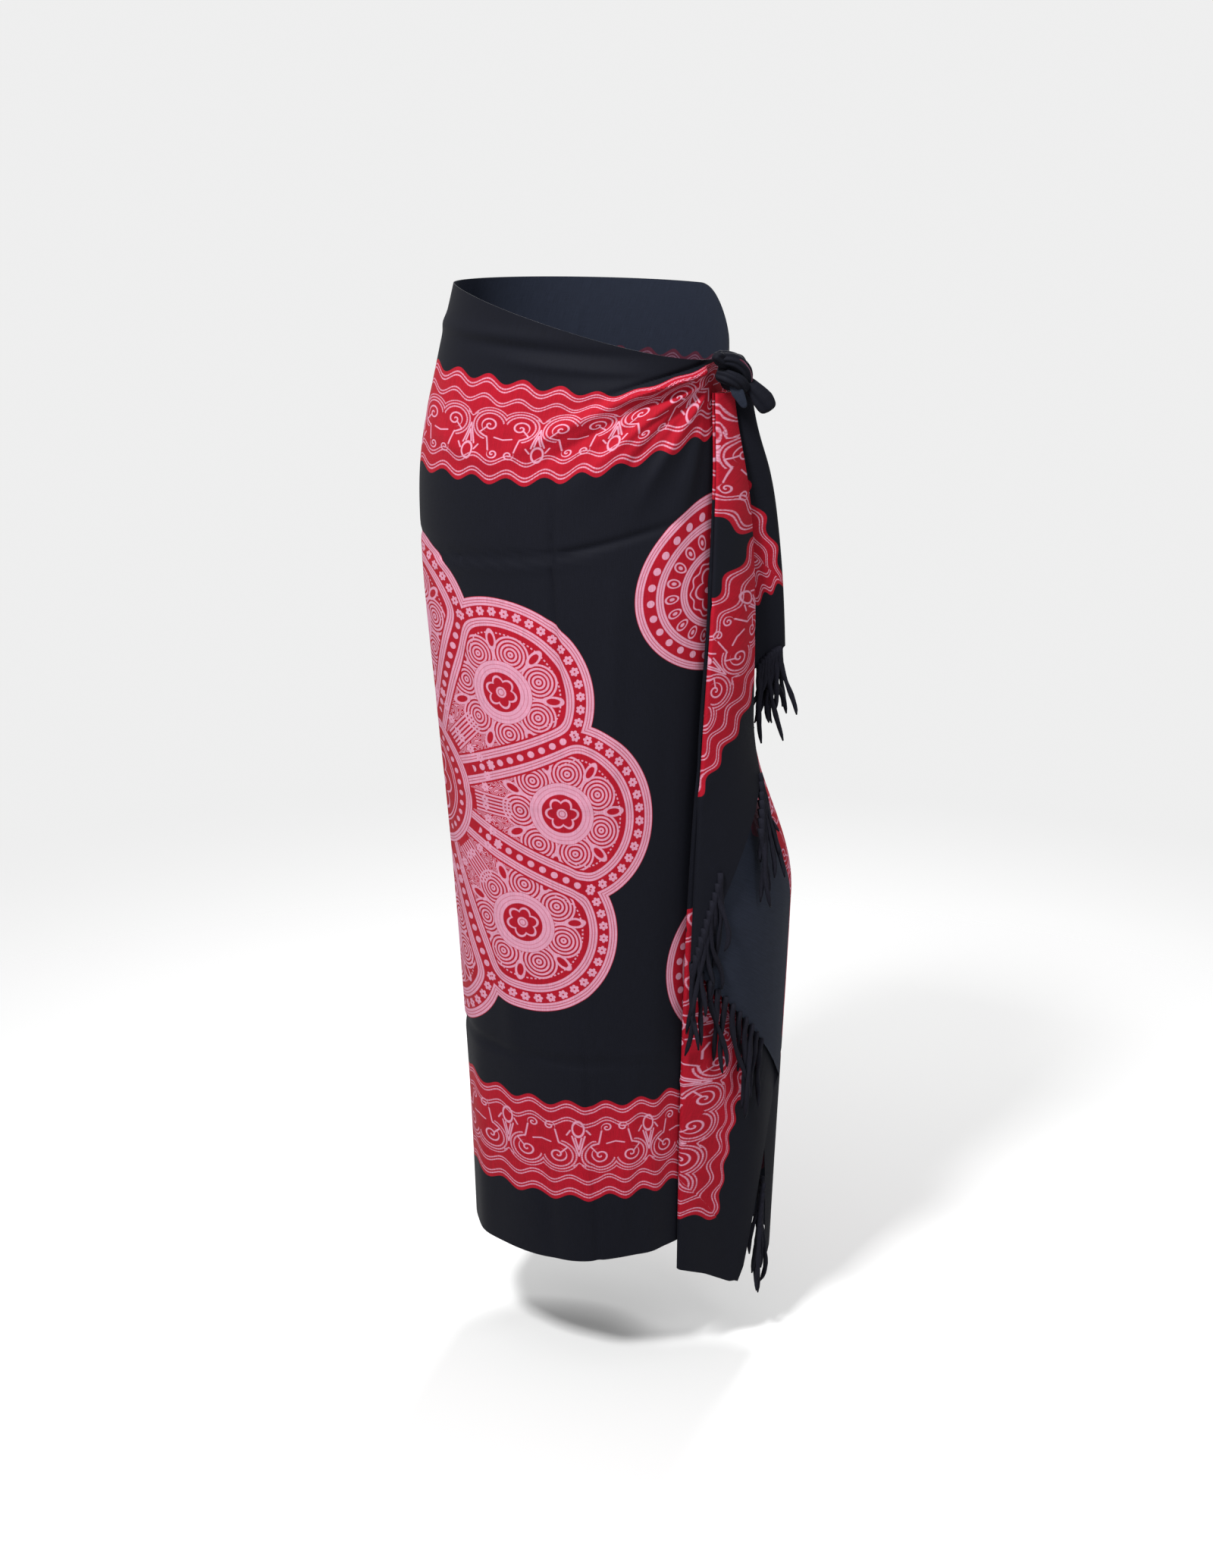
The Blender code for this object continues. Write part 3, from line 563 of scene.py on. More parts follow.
def wrap_folds(turn, z):
    """How far the wrap's folds stand off the figure."""
    along = figure_arc(KNOT_TURN, turn, z)
    fall = KNOT_Z - z
    reach = np.hypot(along, fall)
    height = np.zeros_like(reach)
    for side, level, width, size, length in PULL_FOLDS:
        angle = np.degrees(np.arctan2(fall, side * along))
        ridge = np.exp(-(((angle - level) / width) ** 2))
        fade = np.minimum(1.0, reach / FOLD_FULL) * (1.0 - ease(reach, 0.25 * length, length))
        height = height + size * ridge * fade
    for degrees, width, size, start in HANGING_FOLDS:
        offset = (np.degrees(turn) - degrees) / width
        height = height + size * np.exp(-(offset ** 2)) * ease(-z, start, CLOTH_HEIGHT)
    return height * wrap_tuck(turn, z)


def creases(s, t, table):
    """Height of the soft creases at a place on the cloth."""
    height = np.zeros_like(s)
    for middle_s, middle_t, degrees, half_length, half_width, size in table:
        angle = math.radians(degrees)
        ds = s - middle_s
        dt = t - middle_t
        along = (ds * math.cos(angle) + dt * math.sin(angle)) / half_length
        across = (dt * math.cos(angle) - ds * math.sin(angle)) / half_width
        height = height + size * np.exp(-(along ** 4)) * np.exp(-(across ** 2))
    return height


def wrap_surface(share, down, stretch):
    """Points of the wrap and their places on the cloth: share 0..1 round the stretch, down 0..1."""
    seam = SIDE_SEAM_TURN
    if stretch == "front":
        start = seam
        tuck = FRONT_WRAP_TUCK
    else:
        start = seam + 2.0 * math.pi
        tuck = BACK_WRAP_END
    z = -down * CLOTH_HEIGHT
    for _ in range(SETTLE_STEPS):
        turn = start + (wrap_end(z, tuck) - start) * share
        t = rim_roll(turn) + (CLOTH_HEIGHT - rim_roll(turn)) * down
        z = 0.5 * (z + cloth_height(turn, t))
    s = figure_arc(MIDDLE_TURN, seam, z) + figure_arc(start, turn, z)
    t = print_height(turn, z)
    off = wrap_folds(turn, z) + creases(s, t, WRAP_CREASES) * wrap_tuck(turn, z)
    t = fold_band(s, t)
    s = smooth_table(s, PRINT_SPREAD, 1)
    if stretch == "back":
        off = off + BACK_WRAP_RISE * ease(share, 0.70, 1.0)
    return figure_point(turn, z, off), np.stack([s, t], axis=-1)


def tail_section(reach, table):
    """Corners of a tail's cross-section at each distance: along, away, ray and roundness."""
    spread_along, spread_away = tail_growth(reach)
    low = ease(reach, LOW_FROM, LOW_TO)
    corners = []
    for ray, along, away, low_along, low_away, rise, roundness, *_ in table:
        e = (along + (low_along - along) * low) * spread_along
        o = TAIL_BASE + (away + (low_away - away) * low) * spread_away
        half = 0.5 * rise * spread_away
        if rise == 0.0:
            corners.append((e, o, ray, roundness))
        else:
            corners.append((e, o - half, ray - SLIT, roundness))
            corners.append((e, o + half, ray + SLIT, roundness))
    return corners


def tail_columns(table, runs, bends):
    """Where along the cross-section a tail's columns lie: corner number, kind, place and ray of each."""
    corners = tail_section(np.zeros(1), table)
    columns = []
    last = len(corners) - 1
    for i in range(last + 1):
        ray = corners[i][2]
        if 0 < i < last:
            for k in range(bends):
                columns.append((i, "bend", (k + 0.5) / bends, ray))
        else:
            columns.append((i, "point", 0.0, ray))
        if i < last:
            next_ray = corners[i + 1][2]
            count = 0 if next_ray - ray < 2.5 * SLIT else runs
            for k in range(count):
                place = (k + 1.0) / (count + 1.0)
                columns.append((i, "run", place, ray + (next_ray - ray) * place))
    return columns


def fillet(corners, i, size):
    """How far a rounded corner reaches along a side of this size."""
    if i in (0, len(corners) - 1):
        return 0.0 * size
    return np.minimum(corners[i][3], 0.48 * size)


def tail_across(column, reach, table):
    """Along and away of one column of a tail, for an array of distances from the knot."""
    corners = tail_section(reach, table)
    i, kind, place, _ = column
    here = np.stack(corners[i][:2], axis=-1)
    if kind == "point":
        return here
    if kind == "run":
        there = np.stack(corners[i + 1][:2], axis=-1)
        step = there - here
        size = np.linalg.norm(step, axis=-1, keepdims=True)
        cut_here = fillet(corners, i, size)
        cut_there = fillet(corners, i + 1, size)
        at = cut_here + (size - cut_here - cut_there) * place
        return here + step / size * at
    before = np.stack(corners[i - 1][:2], axis=-1)
    after = np.stack(corners[i + 1][:2], axis=-1)
    back = before - here
    ahead = after - here
    back_size = np.linalg.norm(back, axis=-1, keepdims=True)
    ahead_size = np.linalg.norm(ahead, axis=-1, keepdims=True)
    start = here + back / back_size * fillet(corners, i, back_size)
    end = here + ahead / ahead_size * fillet(corners, i, ahead_size)
    return (1.0 - place) ** 2 * start + 2.0 * place * (1.0 - place) * here + place ** 2 * end


def tail_place(across, reach):
    """The point of a tail that hangs this distance from the knot."""
    along = across[..., 0]
    away = across[..., 1]
    z = KNOT_Z - hanging_fall(np.hypot(along, away - KNOT_OUT), reach)
    return figure_point(turn_at(along, z), z, away)


def ray_length(ray):
    """Distance from the gathering point to the cloth's edge along a ray."""
    angle = math.radians(ray)
    to_hem = CLOTH_HEIGHT - GATHER_T
    to_end = 0.5 * CLOTH_LENGTH - GATHER_S
    lengths = []
    if math.cos(angle) > 1e-6:
        lengths.append(to_hem / math.cos(angle))
    if math.sin(angle) > 1e-6:
        lengths.append(to_end / math.sin(angle))
    return min(lengths)


def column_at(ray, table):
    """The column of a tail at a ray that lies between two folds."""
    corners = tail_section(np.zeros(1), table)
    for i in range(len(corners) - 1):
        start = corners[i][2]
        end = corners[i + 1][2]
        if start <= ray <= end:
            return (i, "run", (ray - start) / (end - start), ray)
    return (len(corners) - 2, "run", 0.99, ray)


def spread_rays(columns, table):
    """Rays of the columns, spread evenly over the rounded corners, in the order of the columns."""
    reach = np.full(1, 0.5)
    places = np.array([tail_across(column, reach, table)[0] for column in columns])
    walked = np.concatenate([[0.0], np.cumsum(np.linalg.norm(np.diff(places, axis=0), axis=-1))])
    corners = tail_section(reach, table)
    marks = []
    for i, corner in enumerate(corners):
        own = [k for k, column in enumerate(columns) if column[0] == i and column[1] != "run"]
        marks.append((np.mean([walked[k] for k in own]), corner[2]))
    return np.interp(walked, [mark[0] for mark in marks], [mark[1] for mark in marks])


def tail_surface(table, runs, bends, end_sign):
    """Points of a tail and their places on the cloth, rows down the rays and columns across the folds."""
    mesh_rays = [row[0] for row in table]
    near_rays = [row[-2] for row in table]
    far_rays = [row[-1] for row in table]
    columns = tail_columns(table, runs, bends)
    rays = spread_rays(columns, table)
    points = []
    places = []
    for column, ray in zip(columns, rays):
        reach = TAIL_TOP + (ray_length(ray) - TAIL_TOP) * np.linspace(0.0, 1.0, TAIL_ROWS + 1)
        points.append(tail_place(tail_across(column, reach, table), reach))
        near = np.interp(ray, mesh_rays, near_rays)
        far = np.interp(ray, mesh_rays, far_rays)
        angle = np.radians(near + (far - near) * ease(reach, *PRINT_TURN))
        s = end_sign * (GATHER_S + reach * np.sin(angle))
        places.append(np.stack([s, GATHER_T + reach * np.cos(angle)], axis=-1))
    points = np.stack(points, axis=1)
    places = np.stack(places, axis=1)
    height = creases(np.abs(places[..., 0]), places[..., 1], TAIL_CREASES)
    return points + grid_normals(points) * height[..., None], places


def grid_normals(grid):
    """Normals of a grid of points, on the side that columns cross rows."""
    down = np.gradient(grid, axis=0)
    across = np.gradient(grid, axis=1)
    normals = np.cross(down, across)
    return normals / np.linalg.norm(normals, axis=-1, keepdims=True)


def spaced(stops):
    """Shares between stops, each stop a place and the steps that lead to it."""
    values = [stops[0][0]]
    for (start, _), (end, steps) in zip(stops, stops[1:]):
        values += [start + (end - start) * (k + 1) / steps for k in range(steps)]
    return np.array(values)


def mesh_object(name, vertices, faces, materials, kinds=None, places=None):
    """A piece from its vertices and faces, each face's material and each vertex's place on the cloth."""
    mesh = bpy.data.meshes.new(name)
    mesh.from_pydata([tuple(vertex) for vertex in vertices], [], faces)
    if kinds is not None:
        mesh.polygons.foreach_set("material_index", kinds)
    mesh.validate()
    if places is not None:
        corners = np.empty(len(mesh.loops), dtype=np.int32)
        mesh.loops.foreach_get("vertex_index", corners)
        layer = mesh.uv_layers.new(name="Print")
        layer.data.foreach_set("uv", np.array(places, dtype=np.float32)[corners].ravel())
    mesh.shade_smooth()
    for material in materials:
        mesh.materials.append(material)
    piece = bpy.data.objects.new(name, mesh)
    bpy.context.scene.collection.objects.link(piece)
    return piece


def cloth_object(name, grid, places, materials, trim=(0, 0)):
    """A closed thin shell round a grid of points, with each place on the cloth in its UV map.

    The columns that trim leaves off at the two sides only help to find the directions of the surface.
    """
    kept = slice(trim[0], grid.shape[1] - trim[1])
    normals = grid_normals(grid)[:, kept]
    grid = grid[:, kept]
    places = places[:, kept].reshape(-1, 2)
    rows, columns = grid.shape[:2]
    outer = grid + normals * 0.5 * THIN
    inner = grid - normals * 0.5 * THIN
    vertices = np.concatenate([outer.reshape(-1, 3), inner.reshape(-1, 3)])
    half = rows * columns
    row, column = np.meshgrid(np.arange(rows - 1), np.arange(columns - 1), indexing="ij")
    first = (row * columns + column).ravel()
    front = np.stack([first, first + columns, first + columns + 1, first + 1], axis=-1)
    back = front[:, ::-1] + half
    border = list(range(columns))
    border += [r * columns + columns - 1 for r in range(1, rows)]
    border += [(rows - 1) * columns + c for c in range(columns - 2, -1, -1)]
    border += [r * columns for r in range(rows - 2, 0, -1)]
    here = np.array(border)
    there = np.roll(here, -1)
    sides = np.stack([here, there, there + half, here + half], axis=-1)
    faces = np.concatenate([front, back, sides]).tolist()
    kinds = np.repeat([0, 1, 0], [len(front), len(back), len(sides)])
    piece = mesh_object(name, vertices, faces, materials, kinds, np.tile(places, (2, 1)))
    piece.data.set_sharp_from_angle(angle=math.radians(50.0))
    return piece


class Formula:
    """One number in a shader formula: each operation adds a math node to the tree."""

    def __init__(self, tree, socket):
        self.tree = tree
        self.socket = socket

    def node(self, operation, *inputs, clamp=False):
        """A math node with these inputs."""
        made = self.tree.nodes.new("ShaderNodeMath")
        made.operation = operation
        made.use_clamp = clamp
        for socket, value in zip(made.inputs, inputs):
            if isinstance(value, Formula):
                self.tree.links.new(value.socket, socket)
            else:
                socket.default_value = value
        return Formula(self.tree, made.outputs[0])

    def __add__(self, other):
        return self.node("ADD", self, other)

    def __sub__(self, other):
        return self.node("SUBTRACT", self, other)

    def __rsub__(self, other):
        return self.node("SUBTRACT", other, self)

    def __mul__(self, other):
        return self.node("MULTIPLY", self, other)

    def __truediv__(self, other):
        return self.node("DIVIDE", self, other)

    def __abs__(self):
        return self.node("ABSOLUTE", self)

    __radd__ = __add__
    __rmul__ = __mul__

    def cos(self):
        """Its cosine."""
        return self.node("COSINE", self)

    def sin(self):
        """Its sine."""
        return self.node("SINE", self)

    def fract(self):
        """What is left after the whole number."""
        return self.node("FRACT", self)

    def most(self, other):
        """The larger of the two."""
        return self.node("MAXIMUM", self, other)

    def least(self, other):
        """The smaller of the two."""
        return self.node("MINIMUM", self, other)

    def below(self, limit, soft=SOFT_EDGE):
        """1 where it is below a limit, 0 above, with a soft edge."""
        return self.node("MULTIPLY_ADD", self, -1.0 / soft, limit / soft + 0.5, clamp=True)

    def above(self, limit, soft=SOFT_EDGE):
        """1 where it is above a limit, 0 below, with a soft edge."""
        return self.node("MULTIPLY_ADD", self, 1.0 / soft, 0.5 - limit / soft, clamp=True)

    def line(self, centre, half_width, soft=SOFT_EDGE):
        """1 on a line of this half width, 0 off it."""
        return abs(self - centre).below(half_width, soft)

    def fold(self, half_period):
        """Distance to the nearest multiple of twice the half period."""
        return self.node("PINGPONG", self, half_period)

    def wave(self, period):
        """A cosine of this period."""
        return (self * (2.0 * math.pi / period)).cos()


def hypot(x, y):
    """Distance from two offsets."""
    square = x.node("MULTIPLY_ADD", x, x, y * y)
    return square.node("SQRT", square)


def angle_of(y, x):
    """Angle of a direction."""
    return y.node("ARCTAN2", y, x)


def double_line(depth, centre):
    """Two thin lines beside each other."""
    return abs(depth - centre).line(0.0018, LINE_HALF)


def segment(x, y, start, end):
    """Distance from a straight line between two points."""
    run = end[0] - start[0]
    rise = end[1] - start[1]
    size = run * run + rise * rise
    off_x = x - start[0]
    off_y = y - start[1]
    share = off_y.node("MULTIPLY_ADD", off_y, rise / size, off_x * (run / size), clamp=True)
    return hypot(off_x - share * run, off_y - share * rise)


def triple_line(depth):
    """Three thin lines beside each other from depth 0.6 mm to 9.6 mm."""
    whole = depth.line(0.0051, 0.0045)
    parting = abs(depth - 0.0051).line(0.0015, 0.0004)
    return whole - parting * whole * 0.85


def dot_ring(radius, angle, ring, count, size):
    """Round dots on a ring."""
    along = (angle * ring).fold(math.pi * ring / count)
    return hypot(along, radius - ring).below(size)


def rosette_ring(radius, angle, ring, half_step, size):
    """Small six-petalled flowers on a ring."""
    along = (angle * ring).fold(half_step)
    across = radius - ring
    petal = abs((angle_of(across, along) * 3.0).cos())
    distance = hypot(along, across)
    flower = (distance - petal * (0.35 * size)).below(0.75 * size)
    return flower * distance.above(0.22 * size)


def band_scrolls(x, y, bead):
    """The pair of scrolls of the band's motif, with the arches over them."""
    scroll_x = x - SCROLL_CENTRE[0]
    scroll_y = y - SCROLL_CENTRE[1]
    radius = hypot(scroll_x, scroll_y)
    open_side = (scroll_y - scroll_x * 1.2).below(0.0130)
    lines = radius.line(TOP_ARCH, 0.0006) * scroll_y.below(-0.0110)
    for arch in ARCHES:
        lines = lines.most(radius.line(arch, LINE_HALF) * open_side)
    lines = lines * x.below(SCROLL_SIDE) * bead
    turn = radius / SCROLL_STEP - angle_of(scroll_y, scroll_x) / (2.0 * math.pi)
    return lines.most(turn.fract().line(0.5, 0.15, 0.10) * radius.below(SCROLL_RADIUS))


def band_stems(x, y, bead):
    """The stems, the small curls and the buds of the band's motif."""
    small_x = x - CURL_CENTRE[0]
    small_y = y - CURL_CENTRE[1]
    small = hypot(small_x, small_y)
    turn = small / CURL_STEP + angle_of(small_y, small_x) / (2.0 * math.pi)
    lines = turn.fract().line(0.5, 0.20, 0.12) * small.below(CURL_RADIUS)
    for start, end in VINE:
        lines = lines.most(segment(x, y, start, end).below(LINE_HALF))
    bud = hypot((x - BUD_CENTRE[0]) / BUD_SIZE[0], (y - BUD_CENTRE[1]) / BUD_SIZE[1])
    sprout = (y + abs(x - BUD_CENTRE[0]) * 0.8).line(0.0450, LINE_HALF) * x.above(0.0300)
    return lines.most(bud.line(1.0, 0.16, 0.10)).most(sprout * bead)


def band_print(along, outer):
    """Inside and lines of the border band: along it, and from its outer edge inwards."""
    wave = along.wave(WAVE_PERIOD) * WAVE_HEIGHT
    half = 0.5 * BAND_WIDTH
    depth = half - abs(outer + wave - half)
    bead = (along.wave(BEAD_PERIOD) + outer.wave(BEAD_PERIOD)) * 0.12 + 0.80
    lines = double_line(depth, BAND_LINES[0]).most(double_line(depth, BAND_LINES[1])) * bead
    x = (along + MOTIF_START).fold(WAVE_PERIOD)
    lines = lines.most(band_scrolls(x, outer, bead)).most(band_stems(x, outer, bead))
    return depth.above(0.0), lines


def filigree(x, y):
    """Close curling lines, as a dense ornament."""
    swing = y.wave(0.0150) * 1.7
    first = (x * (2.0 * math.pi / 0.0190) + swing).sin()
    bend = x.wave(0.0260) * 1.3
    second = (y * (2.0 * math.pi / 0.0165) + bend).cos()
    field = (first + second) * 1.6
    return field.fract().line(0.5, 0.24, 0.14)


def petal_rosette(distance, angle):
    """The flower and the ring in the middle of a petal."""
    flower = distance - abs((angle * 3.0).cos()) * 0.0042
    ring = distance.line(ROSETTE_RING, 0.0056)
    ring = ring - abs(distance - ROSETTE_RING).line(0.0019, 0.0003) * 0.5
    lines = flower.line(0.0108, 0.0011).most(distance.below(0.0052)).most(ring)
    return lines * (1.0 - distance.line(0.0030, 0.0005) * 0.7)


def petal_ornament(x, y, distance, angle):
    """Scalloped lobes, buds, curls and straight stems round the rosette."""
    lobe_angle = math.pi / LOBES
    folded = angle.fold(lobe_angle)
    off_lobe = folded - lobe_angle
    lobe = hypot(distance * off_lobe.cos() - LOBE_RING, distance * off_lobe.sin())
    scallops = (lobe * 270.0).fract().line(*STRIPE) * lobe.below(LOBE_RADIUS)
    bud_x = distance * folded.cos() - BUD_RING
    bud_y = distance * folded.sin()
    bud = hypot(bud_x / 0.0085, bud_y / 0.0042)
    open_ground = bud.above(1.0, 0.10) * lobe.above(LOBE_RADIUS)
    scroll = filigree(x, y) * open_ground * x.below(0.1800, 0.02)
    fan = (y / 0.0042).fract().line(*STRIPE) * x.line(0.1080, 0.0230) * y.below(FAN_HALF_WIDTH)
    lines = (scallops * bud.above(1.0, 0.10)).most(bud.line(1.0, 0.24, 0.12))
    return lines.most(scroll * y.above(FAN_HALF_WIDTH)).most(fan)


def petal_print(x, y, radius):
    """Inside and lines of a petal of the medallion, whose axis is y = 0."""
    axis_x = x - PETAL_CENTRE
    half_angle = math.pi / PETALS
    depth = PETAL_RADIUS - hypot(axis_x.most(0.0), y)
    side = x * math.sin(half_angle) - y * math.cos(half_angle)
    run = x * math.cos(half_angle) + y * math.sin(half_angle)
    angle = angle_of(y, axis_x)
    distance = hypot(axis_x, y)
    lines = triple_line(depth)
    lines = lines.most(rosette_ring(distance, angle, PETAL_RADIUS - FLOWER_DEPTH, 0.0072, 0.0048))
    lines = lines.most(hypot(run.fold(0.0066), side).below(0.0037) * run.line(0.1560, 0.0640))
    inner = depth.node("SMOOTH_MIN", depth - FIELD_DEPTH, side - FIELD_SIDE, 0.010)
    lines = lines.most(triple_line(inner))

    distance = distance / ROSETTE_SCALE
    dotted = inner.line(0.0165, LINE_HALF) * angle.wave(0.07).above(0.0, 0.4) * axis_x.above(0.0)
    ornament = petal_ornament(x, y, distance, angle).most(dotted) * distance.above(ROSETTE_EDGE)
    lines = lines.most(petal_rosette(distance, angle).most(ornament) * inner.above(FIELD_BORDER))
    return depth.above(0.0), lines * radius.above(DISC_RADIUS)


def disc_print(radius, angle):
    """Lines of the medallion's middle disc."""
    lines = triple_line(DISC_RADIUS - radius)
    lines = lines.most(dot_ring(radius, angle, *DISC_DOTS)).most(double_line(radius, DISC_RING))
    petal = abs((angle * 4.0).cos()) * DISC_PETAL
    for share, ring, half_width in DISC_FLOWERS:
        lines = lines.most((radius - petal * share).line(ring, half_width))
    return lines.most(radius.below(DISC_EYE)) * radius.below(DISC_RADIUS)


def circle_print(radius, angle):
    """Inside and lines of a circle beside the medallion."""
    inside = (CIRCLE_BORDERS[0] - radius).above(0.0)
    lines = dot_ring(radius, angle, *CIRCLE_DOTS)
    for border in CIRCLE_BORDERS:
        lines = lines.most(triple_line(border - radius))
    along = (angle * SEED_RING).fold(math.pi * SEED_RING / SEEDS)
    seed = hypot(along / SEED_SIZE[0], (radius - SEED_RING) / SEED_SIZE[1])
    lines = lines.most(seed.line(0.88, 0.14, 0.10)).most(seed.below(0.35, 0.15))
    lines = lines.most((radius - (angle * 12.0).cos() * 0.0018).line(SCALLOP_RING, 0.0010))
    flower = radius - abs((angle * 3.0).cos()) * CIRCLE_PETAL
    lines = lines.most(flower.line(0.0205, 0.0013)).most(flower.below(0.0070))
    return inside, lines * inside


def print_group():
    """The whole print as a node group: how red and how pink the cloth is at its UV place."""
    tree = bpy.data.node_groups.new("batik_print", "ShaderNodeTree")
    tree.interface.new_socket("Red", in_out="OUTPUT", socket_type="NodeSocketFloat")
    tree.interface.new_socket("Pink", in_out="OUTPUT", socket_type="NodeSocketFloat")
    uv = tree.nodes.new("ShaderNodeUVMap")
    uv.uv_map = "Print"
    split = tree.nodes.new("ShaderNodeSeparateXYZ")
    tree.links.new(uv.outputs[0], split.inputs[0])
    s = Formula(tree, split.outputs[0])
    t = Formula(tree, split.outputs[1])
    half_length = 0.5 * CLOTH_LENGTH
    half_height = 0.5 * CLOTH_HEIGHT

    side = abs(s)
    up = abs(t - half_height)
    from_hem = half_height - up
    from_end = half_length + BAND_END_SHIFT - side
    on_end = (from_end - from_hem).below(0.0, 0.0004)
    outer = from_hem.least(from_end) - BAND_FROM
    along = (s + (t - s) * on_end) / MOTIF_STRETCH
    red, pink = band_print(along, outer)
    pink = pink * red

    x = (side - CIRCLE_S) / CIRCLE_SCALE
    y = (up - CIRCLE_T) / CIRCLE_SCALE
    inside, lines = circle_print(hypot(x, y), angle_of(y, x))
    red = red.most(inside)
    pink = pink.most(lines)

    x = (s - MEDALLION_S) / MEDALLION_SCALE[0]
    y = (t - MEDALLION_T) / MEDALLION_SCALE[1]
    radius = hypot(x, y)
    angle = angle_of(y, x)
    folded = angle.fold(math.pi / PETALS)
    petal_x = radius * folded.cos()
    petal_y = radius * folded.sin()
    inside, lines = petal_print(petal_x, petal_y, radius)
    red = red.most(inside)
    pink = pink.most(lines * inside)
    pink = pink.most(disc_print(radius, angle))

    output = tree.nodes.new("NodeGroupOutput")
    tree.links.new(red.socket, output.inputs[0])
    tree.links.new(pink.socket, output.inputs[1])
    return tree


def mix_colours(tree, share, first, second):
    """A colour between two, each a colour or a socket."""
    mix = tree.nodes.new("ShaderNodeMix")
    mix.data_type = "RGBA"
    for socket, value in ((mix.inputs["Factor"], share), (mix.inputs[6], first), (mix.inputs[7], second)):
        if isinstance(value, bpy.types.NodeSocket):
            tree.links.new(value, socket)
        else:
            socket.default_value = value
    return mix.outputs[2]


def noise(tree, vector, scale, detail):
    """A noise texture's value, stretched by the scale's three parts."""
    stretch = tree.nodes.new("ShaderNodeMapping")
    stretch.inputs["Scale"].default_value = scale
    tree.links.new(vector, stretch.inputs["Vector"])
    texture = tree.nodes.new("ShaderNodeTexNoise")
    texture.inputs["Scale"].default_value = 1.0
    texture.inputs["Detail"].default_value = detail
    tree.links.new(stretch.outputs[0], texture.inputs["Vector"])
    return texture.outputs["Fac"]


def new_material(name):
    """A material, its tree and its shader."""
    material = bpy.data.materials.new(name)
    material.use_nodes = True
    return material, material.node_tree, material.node_tree.nodes["Principled BSDF"]


def add_bump(tree, height, shader, strength, distance):
    """Fine relief on a shader."""
    bump = tree.nodes.new("ShaderNodeBump")
    bump.inputs["Strength"].default_value = strength
    bump.inputs["Distance"].default_value = distance
    tree.links.new(height, bump.inputs["Height"])
    tree.links.new(bump.outputs[0], shader.inputs["Normal"])


def cloth_material(name, group, ground, red, pink, wear):
    """Printed rayon: the print's colours, uneven dye, slubs in the yarn and a plain weave."""
    material, tree, shader = new_material(name)
    print_node = tree.nodes.new("ShaderNodeGroup")
    print_node.node_tree = group
    pale = Formula(tree, print_node.outputs["Pink"])
    uv = tree.nodes.new("ShaderNodeUVMap")
    uv.uv_map = "Print"
    place = uv.outputs[0]

    dye = noise(tree, place, (9.0, 9.0, 1.0), 3.0)
    dark_red = tuple(0.72 * value for value in red[:3]) + (1.0,)
    uneven = mix_colours(tree, dye, dark_red, red)
    base = mix_colours(tree, print_node.outputs["Red"], ground, uneven)
    base = mix_colours(tree, (pale * wear).socket, base, pink)
    slub_along = Formula(tree, noise(tree, place, (60.0, 1500.0, 1.0), 2.0))
    slub_down = Formula(tree, noise(tree, place, (1500.0, 60.0, 1.0), 2.0))
    slubs = slub_along * 0.5 + slub_down
    threads = tree.nodes.new("ShaderNodeMapRange")
    threads.inputs["From Min"].default_value = 0.45
    threads.inputs["From Max"].default_value = 1.05
    threads.inputs["To Min"].default_value = 0.80
    threads.inputs["To Max"].default_value = 1.22
    tree.links.new(slubs.socket, threads.inputs["Value"])
    shade = tree.nodes.new("ShaderNodeVectorMath")
    shade.operation = "SCALE"
    tree.links.new(base, shade.inputs[0])
    tree.links.new(threads.outputs[0], shade.inputs["Scale"])
    tree.links.new(shade.outputs[0], shader.inputs["Base Color"])

    split = tree.nodes.new("ShaderNodeSeparateXYZ")
    tree.links.new(place, split.inputs[0])
    step = 2.0 * math.pi / WEAVE_PITCH
    warp = (Formula(tree, split.outputs[0]) * step).sin()
    weft = (Formula(tree, split.outputs[1]) * step).sin()
    add_bump(tree, (warp * weft * 0.4 + slubs).socket, shader, 0.25, 0.0004)
    tree.links.new((pale * 0.08 + 0.74).socket, shader.inputs["Roughness"])
    shader.inputs["Sheen Weight"].default_value = 0.006
    shader.inputs["Sheen Roughness"].default_value = 0.5
    shader.inputs["Specular IOR Level"].default_value = 0.07
    return material


def yarn_material():
    """Twisted black yarn with a little fluff."""
    material, tree, shader = new_material("fringe_yarn")
    place = tree.nodes.new("ShaderNodeTexCoord").outputs["Object"]
    fibres = noise(tree, place, (900.0, 900.0, 260.0), 3.0)
    pale = tuple(3.4 * value for value in YARN[:3]) + (1.0,)
    tree.links.new(mix_colours(tree, fibres, YARN, pale), shader.inputs["Base Color"])
    add_bump(tree, fibres, shader, 0.5, 0.0006)
    shader.inputs["Roughness"].default_value = 0.88
    shader.inputs["Specular IOR Level"].default_value = 0.08
    return material


def make_wrap(name, stretch, column_stops, materials):
    """A stretch of the wrap as thin cloth."""
    shares = spaced(column_stops)
    shares = np.concatenate([[2.0 * shares[0] - shares[1]], shares])
    share, down = np.meshgrid(shares, spaced(WRAP_ROWS))
    grid, places = wrap_surface(share, down, stretch)
    if stretch == "back":
        return cloth_object(name, grid[:, ::-1], places[:, ::-1], materials, (0, 1))
    return cloth_object(name, grid, places, materials, (1, 0))


def make_tail(name, table, runs, bends, end_sign, materials):
    """A tail as thin cloth."""
    grid, places = tail_surface(table, runs, bends, end_sign)
    if end_sign < 0.0:
        grid = grid[:, ::-1]
        places = places[:, ::-1]
    return cloth_object(name, grid, places, materials)


